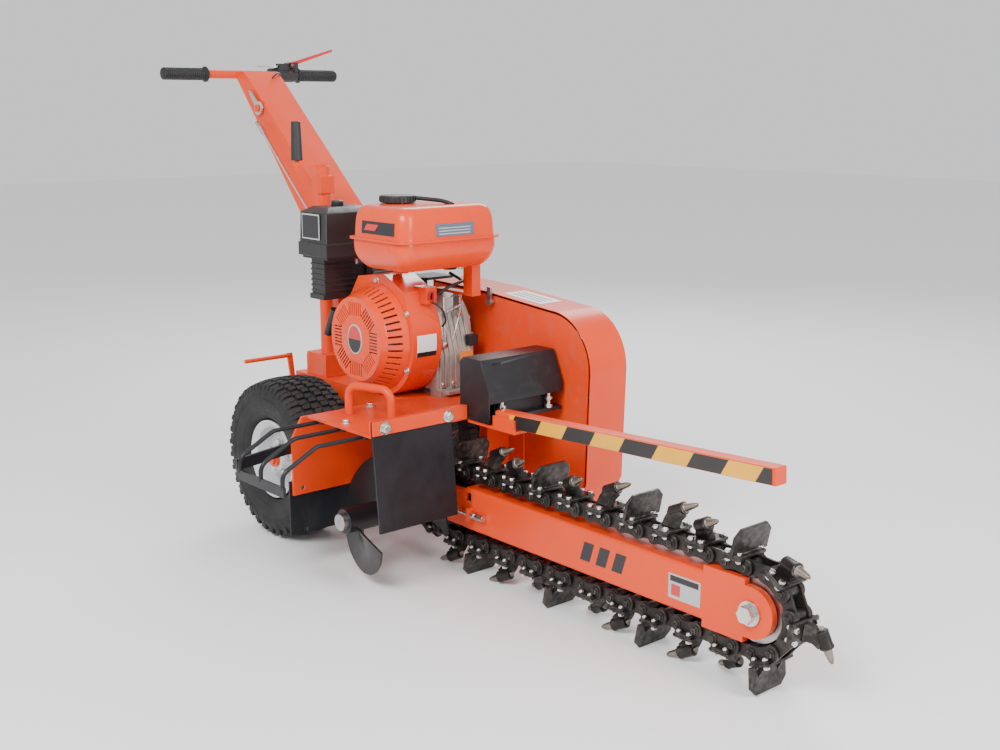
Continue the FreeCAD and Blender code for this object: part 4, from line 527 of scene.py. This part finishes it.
FINISHES = {
    "orange_paint": ["main_deck", "frame_rails", "rear_plate", "front_clamp_strip", "lift_handle",
                     "handle_column", "handlebar", "jack_tube", "jack_crank", "shaft_housing", "boom_beam",
                     "foot_pedal", "wheel_carriage", "belt_guard_cover", "belt_guard_back", "hazard_bar"],
    "tank_paint": ["fuel_tank", "fan_shroud", "recoil_cover"],
    "black_paint": ["auger_guard", "muffler", "bearing_cover", "jackshaft_housing", "auger_flight"],
    "flap_rubber": ["rear_flap", "front_flap"],
    "black_plastic": ["lever_perch", "air_cleaner_cover", "air_cleaner_elbow", "jack_crank_grip", "fuel_cap",
                      "starter_grip"],
    "zinc": ["frame_bolts", "throttle_lever", "clutch_lever"],
    "steel": ["idler_arm", "jack_ram", "crankshaft", "jackshaft", "digging_shaft", "nose_roller"],
    "chain_steel": ["drive_sprocket"],
    "aluminium": ["crankcase", "cylinder_head"],
    "rim_silver": ["rim_left", "rim_right"],
    "red_plastic": ["hand_lever", "engine_switch"],
    "orange_plastic": ["oil_dipstick"],
    "belt_rubber": ["drive_belts"],
}
FINE_EDGES = {
    "belt_guard_back": 0, "recoil_cover": 0.3, "handlebar": 0.4, "throttle_lever": 0.4, "crankshaft": 0.4,
    "jack_ram": 0.4, "clutch_lever": 0.5, "frame_bolts": 0.5, "cylinder_head": 0.5, "drive_belts": 0.5,
    "rim_left": 0.6, "rim_right": 0.6, "auger_flight": 0.7, "drive_sprocket": 0.8, "hand_lever": 0.9,
    "belt_guard_cover": 1.0, "boom_beam": 1.2, "fuel_cap": 1.2, "starter_grip": 1.2, "bearing_cover": 1.2,
    "muffler": 1.5, "handle_column": 1.6, "fuel_tank": 2.0, "jack_crank_grip": 2.0, "air_cleaner_cover": 3.0,
}


def finish_cad_nodes():
    for material, nodes in FINISHES.items():
        for node in nodes:
            refined(node, material, FINE_EDGES.get(node, 0.9))


# ------------------------------------------------------------ tyres, rims and grips

TYRE_RADIUS, BEAD_RADIUS = 184.0, 92.0
TREAD_ROWS = (-58, -35, -12, 12, 35, 58)
BLOCKS_ROUND = 34
BLOCK_FACES = [(0, 1, 3, 2), (4, 6, 7, 5), (0, 4, 5, 1), (2, 3, 7, 6), (0, 2, 6, 4), (1, 5, 7, 3)]


def crown(y):
    """Height of the tread's surface above the axle at a distance from the tyre's middle."""
    return TYRE_RADIUS - 9.0 * (abs(y) / 68.0) ** 2.6


def make_tyre(node, body):
    middle = local(centre_of(node))
    base = (middle.x, middle.y, middle.z)
    shape = Shape(node + "_carcass")
    wall = [(-50, BEAD_RADIUS), (-58, BEAD_RADIUS + 3), (-66, 104), (-71, 118), (-73.5, 134), (-73, 150),
            (-69.5, 162), (-62, 170), (-40, 174.6), (-20, 176), (0, 176.3)]
    profile = wall + [(-y, r) for y, r in wall[-2::-1]]
    shape.ring_lathe(base, (0, 1, 0), profile, 96)
    for y in (-72.6, 72.6):
        for radius, fat in ((112, 1.5), (141, 1.7), (146, 1.2)):
            pull = 0.0 if radius > 120 else (4.5 if y < 0 else -4.5)
            ring = [(y + pull + fat * math.cos(t), radius + fat * math.sin(t))
                    for t in circle(8)]
            shape.ring_lathe(base, (0, 1, 0), ring, 96)
    shape.done("tyre", body, bevel=0, angle=50)

    blocks = Shape(node + "_tread")
    for row, y in enumerate(TREAD_ROWS):
        outer = abs(y) > 50
        half_width = 11.5 if outer else 9.3
        for k in range(BLOCKS_ROUND):
            turn = 2 * math.pi * (k + (0.5 if row % 2 else 0.0)) / BLOCKS_ROUND
            half_angle = math.pi / BLOCKS_ROUND * 0.76
            blocks.turn = (Matrix.Translation(base) @ Matrix.Rotation(turn, 4, "Y"))
            for part in (-1, 1):
                a0, a1 = sorted((part * half_angle, part * half_angle * 0.06))
                shift = part * 1.6
                points = []
                for level in (0, 1):
                    for along in (a0, a1):
                        for across in (-1, 1):
                            edge = y + shift + across * (half_width - 1.2 * level)
                            radius = crown(edge) if level else 170.0 - max(0, abs(edge) - 56) * 0.6
                            points.append((radius * math.sin(along), edge, radius * math.cos(along)))
                blocks.add(points, BLOCK_FACES)
            if outer:
                side_of = 1 if y > 0 else -1
                points = []
                for radius, reach in ((176, 66), (150, 74.0)):
                    for along in (-half_angle * 0.8, half_angle * 0.8):
                        for depth in (-4.5, 0.0):
                            across = side_of * (reach + depth)
                            points.append((radius * math.sin(along), across, radius * math.cos(along)))
                blocks.add(points, BLOCK_FACES)
    blocks.turn = Matrix.Identity(4)
    blocks.done("tyre", body, bevel=0.9, segments=1, angle=30, replaces=(node,))

    hub = Shape(node.replace("tyre", "hub") + "_details")
    for face in (-1, 1):
        y = middle.y + face * 36
        for k in range(5):
            turn = 2 * math.pi * k / 5 + 0.3
            hub.bolt((middle.x + 38 * math.cos(turn), y, middle.z + 38 * math.sin(turn)), (0, face, 0), 13, 7)
    hub.done("zinc", body, bevel=0.4)


def make_grip(node, direction, body):
    low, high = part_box(node)
    low, high = local(low), local(high)
    middle = (low + high) / 2
    start = low.y if direction > 0 else high.y
    length = high.y - low.y
    profile = [(0, 11.6), (0, 16), (2, 19.2), (6.5, 19.4), (8, 16.6)]
    along = 10.0
    while along < length - 14:
        profile += [(along, 14.2), (along + 1.0, 15.3), (along + 3.6, 15.3), (along + 4.6, 14.2)]
        along += 5.6
    profile += [(length - 12, 14.4), (length - 10, 15.2), (length - 4, 15.2), (length - 1, 13.4),
                (length, 10), (length, 0)]
    shape = Shape(node + "_ribbed")
    shape.lathe((middle.x, start, middle.z), (0, direction, 0), profile, 40)
    shape.done("rubber", body, bevel=0.3, segments=1, angle=40, replaces=(node,))


# ------------------------------------------------------------ digging chain

PITCH, SPROCKET_TEETH, LINKS = 41.4, 11, 52
LINK_HALF_HEIGHT, INNER_HALF, PLATE = 15.0, 13.0, 5.0
HALF_PITCH, LINK_TOP = PITCH / 2, LINK_HALF_HEIGHT
OUTER_FACE = INNER_HALF + 2 * PLATE + 0.4
TOOL_ORDER = ("scraper", "left", "right", "scraper", "right", "left")


def chain_pin(k):
    """Pin k of the chain, in millimetres in the X and Z plane."""
    radius = PITCH / (2 * math.sin(math.pi / SPROCKET_TEETH))
    run, arc = NOSE.x - SPROCKET.x, SPROCKET_TEETH * PITCH / 2
    s = (k * PITCH) % (2 * run + 2 * arc)
    if s < run:
        return SPROCKET.x + s, SPROCKET.z + radius
    if s < run + arc:
        a = (s - run) / arc * math.pi
        return NOSE.x + radius * math.sin(a), NOSE.z + radius * math.cos(a)
    if s < 2 * run + arc:
        return NOSE.x - (s - run - arc), NOSE.z - radius
    a = (s - 2 * run - arc) / arc * math.pi
    return SPROCKET.x - radius * math.sin(a), SPROCKET.z - radius * math.cos(a)


def link_matrix(k):
    (xa, za), (xb, zb) = chain_pin(k), chain_pin(k + 1)
    heading = math.atan2(-(zb - za), xb - xa)
    return Matrix.Translation(((xa + xb) / 2, BOOM_Y, (za + zb) / 2)) @ Matrix.Rotation(heading, 4, "Y")


def waisted():
    """Outline of a link plate: round ends, a waist below and a straight top."""
    h, r = PITCH / 2, LINK_HALF_HEIGHT
    right = [(h + r * math.cos(t), r * math.sin(t)) for t in [math.radians(-90 + 18 * i) for i in range(11)]]
    left = [(-x, z) for x, z in right[::-1]]
    top = [(h * 0.5, r - 0.6), (-h * 0.5, r - 0.6)]
    waist = [(-h * 0.45, -r + 4.0), (0, -r + 5.0), (h * 0.45, -r + 4.0)]
    return right + top + left + waist


def inner_link(links):
    """Two plates with a bush at each pin."""
    for s in (-1, 1):
        links.prism(waisted(), *sorted((s * INNER_HALF, s * (INNER_HALF + PLATE))))
    for x in (-HALF_PITCH, HALF_PITCH):
        links.rod((x, -INNER_HALF, 0), (x, INNER_HALF, 0), 10.4, sides=20)


def outer_link(links, bolts):
    """Two plates with a bolted ledge each, and the ends of the pins."""
    h, near, far = HALF_PITCH, OUTER_FACE - 1, OUTER_FACE + 11.5
    ledge = [(-h * 0.92, near), (h * 0.92, near), (h * 0.92, far - 3), (h * 0.78, far),
             (-h * 0.78, far), (-h * 0.92, far - 3)]
    pin_end = [(0, 9.2), (1.6, 9.2), (2.2, 6.1), (5.2, 6.0), (6.0, 5.0)]
    for s in (-1, 1):
        links.prism(waisted(), *sorted((s * (OUTER_FACE - PLATE), s * OUTER_FACE)))
        links.prism([(x, s * y) for x, y in ledge], LINK_TOP - 4.6, LINK_TOP, "xy")
        y = s * (OUTER_FACE + 5)
        for x in (-h * 0.56, h * 0.56):
            bolts.bolt((x, y, LINK_TOP + 5.6), (0, 0, 1), 10.5, 5.5, washer=False)
            bolts.rod((x, y, LINK_TOP - 10), (x, y, LINK_TOP - 4), 3.6, sides=12)
            bolts.hex_head((x, y, LINK_TOP - 4.6), (0, 0, -1), 10, 4.2)
        for x in (-h, h):
            links.lathe((x, s * OUTER_FACE, 0), (0, s, 0), pin_end, 20)


def seat_plate(shape):
    """The plate across an outer link that a blade or a tooth is welded to."""
    h, side = HALF_PITCH, OUTER_FACE + 11.5
    seat = [(-h - 1, -side + 1.5), (-h + 3, -side), (h - 3, -side), (h + 1, -side + 1.5),
            (h + 1, side - 1.5), (h - 3, side), (-h + 3, side), (-h - 1, side - 1.5)]
    shape.prism(seat, LINK_TOP + 0.2, LINK_TOP + 5.6, "xy")


def scraper_blade(scrapers, link):
    """A blade with clipped corners, leaning forward on two gussets."""
    lean = Matrix.Rotation(math.radians(12), 4, "Y")
    scrapers.turn = link @ Matrix.Translation((9, 0, LINK_TOP + 5)) @ lean
    scrapers.prism([(-48, 0), (48, 0), (48, 37), (34, 51), (-34, 51), (-48, 37)], -3, 3, "yz")
    for y in (-26, 26):
        scrapers.prism([(-18, -3), (-1, -3), (-1, 24)], y - 2.5, y + 2.5)
    scrapers.box(2.6, 4.4, -46.5, 46.5, 0.6, 3.5)


def bullet_tooth(holders, bits, tips, link, degrees):
    """A web and a collar that hold a bullet tooth, leaning out to one side."""
    lean = Matrix.Rotation(math.radians(-degrees), 4, "X")
    for shape in (holders, bits, tips):
        shape.turn = link @ Matrix.Translation((0, 0, LINK_TOP + 5)) @ lean
    web = [(-17, -2), (15, -2), (13, 6), (14, 16), (21, 27), (5, 34), (-10, 27), (-15, 14)]
    holders.prism(web, -8.5, 8.5)
    direction = Vector((28, 0, 14)).normalized()
    collar = Vector((-12, 0, 25))
    sleeve = [(0, 8.6), (1.5, 11.2), (27, 11.6), (29, 12.6), (32.5, 12.6), (33.5, 11.4)]
    holders.lathe(collar, direction, sleeve, 28)
    bullet = [(0, 9.6), (3.2, 9.8), (4.2, 8.0), (7, 7.4), (20, 5.6), (24, 5.0)]
    bits.lathe(collar + direction * 31, direction, bullet, 24)
    bits.lathe(collar - direction * 5, direction, [(0, 4.6), (2, 5.6), (7, 5.6)], 20)
    tips.lathe(collar + direction * 54.5, direction, [(0, 4.7), (2.5, 4.3), (6.5, 2.4), (7.6, 0.8)], 20)


def make_chain():
    """Inner links at even places; outer links, each with a blade or a tooth, at odd ones."""
    links, bolts, scrapers = Shape("chain_plates"), Shape("chain_bolts"), Shape("chain_scraper_blades")
    holders, bits, tips = Shape("tooth_holder_set"), Shape("tooth_bullets"), Shape("tooth_tips")
    for k in range(LINKS):
        link = link_matrix(k)
        for shape in (links, bolts, scrapers, holders, bits, tips):
            shape.turn = link
        if k % 2 == 0:
            inner_link(links)
            continue
        outer_link(links, bolts)
        tool = TOOL_ORDER[(k // 2) % len(TOOL_ORDER)]
        if tool == "scraper":
            seat_plate(scrapers)
            scraper_blade(scrapers, link)
        else:
            seat_plate(holders)
            bullet_tooth(holders, bits, tips, link, 26 if tool == "left" else -26)
    links.done("chain_steel", "frame", bevel=0.9, segments=2, replaces=("chain_links",))
    bolts.done("zinc", "frame", bevel=0.4, segments=1, replaces=("tooth_holders",))
    scrapers.done("chain_steel", "frame", bevel=1.0, replaces=("chain_scrapers",))
    holders.done("chain_steel", "frame", bevel=1.2)
    bits.done("carbide", "frame", bevel=0.4, replaces=("digging_teeth",))
    tips.done("tip", "frame", bevel=0.3)


# ------------------------------------------------------------ hazard tape, labels and small parts

STRIPES = (633, 710, 783, 858, 934, 1015, 1097, 1173, 1246)
BAR_RISE = math.radians(2.6)


def make_hazard_tape():
    end_x = local(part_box("hazard_bar")[1]).x - 1.5
    root = Vector((572.0, BOOM_FACE, 341.5))
    side, rise = 31.0, Matrix.Rotation(-BAR_RISE, 4, "Y")
    yellow, black = Shape("tape_yellow_base"), Shape("tape_black_stripes")
    for shape in (yellow, black):
        shape.turn = Matrix.Translation(root) @ rise
    first = STRIPES[0] - root.x - 18
    last = (end_x - root.x) / math.cos(BAR_RISE) - 3.5
    yellow.box(first, last, -0.5, 0.05, 1.8, side - 1.8)
    lean = 17.0
    spans = [(STRIPES[i] - root.x, STRIPES[i + 1] - root.x) for i in range(0, 8, 2)]
    spans.append((STRIPES[8] - root.x, last + 40))
    for a, b in spans:
        outline = [(a - lean, 1.9), (b - lean, 1.9), (b, side - 1.9), (a, side - 1.9)]
        outline = [(min(max(x, first), last), z) for x, z in outline]
        if outline[2][0] >= last:
            top = min(a, last)
            outline = [(a - lean, 1.9), (last, 1.9), (last, side - 1.9), (top, side - 1.9)]
        black.prism(outline, -0.95, -0.45)
    yellow.done("tape_yellow", "frame", bevel=0)
    black.done("tape_black", "frame", bevel=0)
    cap = Shape("bar_end_plug")
    cap.turn = Matrix.Translation(root) @ rise
    length = (end_x - root.x) / math.cos(BAR_RISE)
    cap.box(length - 2.0, length + 1.2, 1.5, side - 1.5, 1.5, side - 1.5)
    cap.done("orange_paint", "frame", bevel=0.8)


def label(name, material, body, x, y, z):
    """A thin plate: x, y, z are (low, high) pairs, one of them nearly flat."""
    shape = Shape(name)
    shape.box(x[0], x[1], y[0], y[1], z[0], z[1])
    return shape.done(material, body, bevel=0.2, segments=1)


def wrapped_label(name, material, turns, inner, outer, y):
    """A label wrapped round the fan shroud, between two angles above the horizontal."""
    angles = [math.radians(turns[0] + (turns[1] - turns[0]) * k / 12) for k in range(13)]
    outline = [round_crank(outer, t) for t in angles] + [round_crank(inner, t) for t in angles[::-1]]
    shape = Shape(name)
    shape.prism(outline, *y)
    return shape.done(material, "frame", bevel=0)


def sloped_label(name, material, corners, lift):
    """A thin plate over four corners, raised by a small step."""
    shape = Shape(name)
    shape.rings([corners, [tuple(a + b for a, b in zip(corner, lift)) for corner in corners]])
    return shape.done(material, "frame", bevel=0)


def on_guard_top(x, y, height):
    """Corners of a rectangle on the guard's sloping top; height is taken where the slope starts."""
    fall = [height - 18 * (end - 306) / 214 for end in x]
    return [(x[0], y[0], fall[0]), (x[1], y[0], fall[1]), (x[1], y[1], fall[1]), (x[0], y[1], fall[0])]


def make_labels():
    label("air_cleaner_badge_rim", "label_silver", "frame", (22, 92), (-199.2, -198.2), (686, 742))
    label("air_cleaner_badge", "label_black", "frame", (25, 89), (-199.7, -199.0), (689, 739))
    wrapped_label("shroud_label", "label_white", (-13.5, 7), 132.0, 132.5, (-110, -58))
    wrapped_label("shroud_label_strip", "label_black", (-13.5, -9), 132.4, 132.9, (-110, -58))
    panel = [(252, -196.7, 715), (366, -196.7, 715), (366, -194.6, 741), (252, -194.6, 741)]
    stroke = [(262, -197.1, 722), (300, -197.1, 722), (312, -195.5, 735), (270, -195.5, 735)]
    note = [(394.6, -109, 711), (394.6, -8, 711), (392.8, -8, 737), (392.8, -109, 737)]
    sloped_label("tank_label", "label_black", panel, (0, -0.7, 0))
    sloped_label("tank_label_stroke", "label_red", stroke, (0, -0.7, 0))
    sloped_label("tank_note", "label_grey", note, (0.7, 0, 0))
    for row in range(3):
        z, x = 715 + 6 * row, 394.9 - 0.42 * row
        line = [(x, -102, z), (x, -18, z), (x - 0.15, -18, z + 2), (x - 0.15, -102, z + 2)]
        sloped_label(f"tank_note_line_{row}", "label_silver", line, (0.6, 0, 0))
    low = local(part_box("recoil_cover")[0])
    badge = Shape("recoil_badge_rim")
    badge.prism([round_crank(27, t, 33) for t in circle(48)], low.y - 1.8, low.y + 0.5)
    badge.done("label_silver", "frame", bevel=0.5)
    for part, material, first in (("upper", "label_red", 0), ("lower", "label_black", 180)):
        half = Shape("recoil_badge_" + part)
        turns = [math.radians(first + 7.5 * k) for k in range(25)]
        half.prism([round_crank(23.5, t, 29.5) for t in turns], low.y - 2.6, low.y - 1.6)
        half.done(material, "frame", bevel=0.2)
    on_boom, on_label = (BOOM_FACE - 0.6, BOOM_FACE + 0.1), (BOOM_FACE - 1.0, BOOM_FACE - 0.5)
    label("boom_label", "label_silver", "frame", (1046, 1120), on_boom, (118, 164))
    label("boom_label_band", "label_black", "frame", (1050, 1116), on_label, (150, 161))
    label("boom_label_block", "label_red", "frame", (1053, 1074), on_label, (124, 145))
    sloped_label("guard_decal", "label_white", on_guard_top((345, 465), (120, 182), 569.2), (0.06, 0, 0.8))
    for row in range(3):
        y = 132 + 15 * row
        line = on_guard_top((358, 452), (y, y + 5), 570.1)
        sloped_label(f"guard_decal_line_{row}", "label_grey", line, (0.04, 0, 0.4))
    for k in range(3):
        mark = Shape(f"boom_mark_{k}")
        x = 820 + 42 * k
        mark.prism([(x, 126), (x + 26, 126), (x + 38, 164), (x + 12, 164)], BOOM_FACE - 0.5, BOOM_FACE + 0.1)
        mark.done("label_black", "frame", bevel=0)


def make_loose_bolts():
    """Bolts of the deck, the front lip, the belt guard, the fan shroud and the flap."""
    bolts = Shape("loose_bolts")
    for x, y in ((369, -326), (280, -204), (470, -300), (120, 80), (-120, 80)):
        bolts.bolt((x, y, DECK_TOP), (0, 0, 1), 14, 7)
    for y in (-322, -164):
        bolts.bolt((498.5, y, DECK_TOP + 14), (1, 0, 0), 16, 8)
    for x, z in ((330, 548), (470, 540), (180, 554), (130, 408), (330, 228), (420, 98), (560, 188)):
        bolts.bolt((x, 208, z), (0, 1, 0), 12, 4.5)
    for k in range(6):
        x, z = round_crank(124, math.radians(30 + 60 * k))
        bolts.bolt((x, -120, z), (0, -1, 0), 10, 4)
    bolts.bolt((240, -339, 190), (-1, 0, 0), 14, 6)
    bolts.done("zinc", "frame", bevel=0.4, segments=1)


def make_castings():
    """Ribs of the air cleaner's elbow and of the crankcase."""
    ribs = Shape("elbow_ribs")
    for k in range(6):
        z = 566 + 12 * k
        ribs.box(28.2, 83.8, -184, -98, z, z + 5)
    ribs.done("black_plastic", "frame", bevel=1.2)
    case = Shape("crankcase_ribs")
    for k in range(7):
        y = -34 + 14 * k
        rib = [(306, 362), (311, 362), (311, 434), (283, 528), (279, 526), (306, 436)]
        case.prism(rib, y - 1.6, y + 1.6)
    for k in range(10):
        turn = math.radians(-60 + 30 * k)
        inner, outer = (round_crank(radius, turn) for radius in (50, 88))
        case.rod((inner[0], 72, inner[1]), (outer[0], 72, outer[1]), 2.4, sides=10)
    case.box(286, 330, -30, 40, 352, 360)
    case.done("aluminium", "frame", bevel=0.8)


def make_engine_fittings():
    """Plug cap, ignition lead and stop wire; governor linkage with its spring; bolts."""
    engine = Shape("engine_dark_parts")
    engine.lathe((262, 30, 620), (0, 0, 1), [(0, 15), (4, 18), (18, 18), (20, 12)], 24)
    engine.box(180, 250, -30, 50, 598, 604)
    engine.box(236, 250, -28, -22, 560, 604)
    engine.tube([(322, -66, 562), (334, -50, 548), (330, -36, 520), (316, -34, 505)], 2.6, 10, 8)
    lead = [(318, -52, 575), (332, -30, 592), (326, 10, 600), (296, 38, 598), (262, 30, 612)]
    engine.tube(lead, 3.4, 12, 8)
    engine.box(300, 318, 44, 66, 452, 476)
    engine.done("black_plastic", "frame", bevel=0.6)
    linkage = Shape("engine_linkage")
    linkage.rod((312, -24, 462), (300, -18, 566), 2.4, sides=12)
    linkage.rod((300, -18, 560), (282, 34, 566), 1.6, sides=10)
    linkage.rod((322, -10, 470), (304, 30, 548), 1.6, sides=10)
    linkage.lathe((306, -24, 462), (1, 0, 0), [(0, 9), (8, 9), (12, 5)], 24)
    linkage.box(284, 306, 22, 30, 520, 572)
    spring = []
    for k in range(72):
        turn = 2 * math.pi * k / 8
        spring.append((306 + 4 * math.cos(turn), -14 + 0.62 * k, 534 + 0.2 * k + 4 * math.sin(turn)))
    linkage.tube(spring, 0.8, 6, 2)
    linkage.done("zinc", "frame", bevel=0.3, segments=1)
    studs = Shape("engine_bolts")
    for y in (-28, 0, 28, 50):
        studs.bolt((308.5, y, 372), (1, 0, 0), 9, 4)
    for k in range(8):
        x, z = round_crank(84, math.radians(22 + 45 * k))
        studs.bolt((x, 72, z), (0, 1, 0), 10, 5)
    for x, y in ((320, 20), (320, 44), (224, -84)):
        studs.bolt((x, y - 6, 634), (0, 0, -1), 10, 5)
    studs.done("zinc", "frame", bevel=0.3, segments=1)


def make_knobs_and_caps():
    """Air cleaner knob, the strip on the tank's top, and the fuel cap's ridges."""
    knob = Shape("air_cleaner_knob")
    knob.lathe((62, -130, 756), (0, 0, 1), [(0, 13), (3, 14), (11, 14), (13, 11)], 24)
    knob.done("black_plastic", "frame", bevel=0.8)
    hose = Shape("tank_top_strip")
    hose.tube([(276, -70, 783), (300, -55, 781), (330, -40, 778), (352, -30, 771)], 4.5, 14, 10)
    hose.done("rubber", "frame", bevel=0)
    cap = Shape("fuel_cap_ridges")
    for k in range(24):
        turn = 2 * math.pi * k / 24
        x, y = 245 + 38.4 * math.cos(turn), -97 + 38.4 * math.sin(turn)
        cap.rod((x, y, 776), (x, y, 786.5), 1.7, sides=8)
    cap.done("black_plastic", "fuel_cap", bevel=0)


# ------------------------------------------------------------ cables

def make_cable(node, points, radius, material):
    curve = bpy.data.curves.new(node + "_line", "CURVE")
    curve.dimensions = "3D"
    curve.bevel_depth, curve.bevel_resolution = radius * MM, 5
    curve.resolution_u, curve.use_fill_caps = 16, True
    spline = curve.splines.new("NURBS")
    spline.points.add(len(points) - 1)
    for point, place in zip(spline.points, points):
        point.co = (*at(*place), 1.0)
    spline.order_u = 3
    spline.use_endpoint_u = True
    obj = bpy.data.objects.new(node + "_sheath", curve)
    bpy.context.scene.collection.objects.link(obj)
    curve.materials.append(MATERIALS[material])
    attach(obj, "frame")
    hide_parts(node)


def make_cables():
    bar_x, bar_z = -512.0, 1053.0
    throttle = [(bar_x + 30.5, 64.5, bar_z), (bar_x + 40, 61, bar_z + 1), (bar_x + 52, 50, bar_z + 4),
                (bar_x + 62, 38, bar_z + 4), (bar_x + 68, 27, bar_z - 1), (bar_x + 68, 18, bar_z - 9)]
    make_cable("throttle_cable", throttle, 2.0, "black_plastic")
    clutch = [(-354, -66, 906), (-243, -61, 794), (-130, -58, 690)]
    make_cable("clutch_cable", clutch, 2.5, "zinc")


# ------------------------------------------------------------ everything

make_camera()
make_cables()
make_stage()
finish_cad_nodes()
make_tyre("tyre_left", "wheel_left")
make_tyre("tyre_right", "wheel_right")
make_grip("grip_left", 1, "frame")
make_grip("grip_right", -1, "frame")
make_chain()
make_hazard_tape()
make_labels()
make_loose_bolts()
make_castings()
make_engine_fittings()
make_knobs_and_caps()
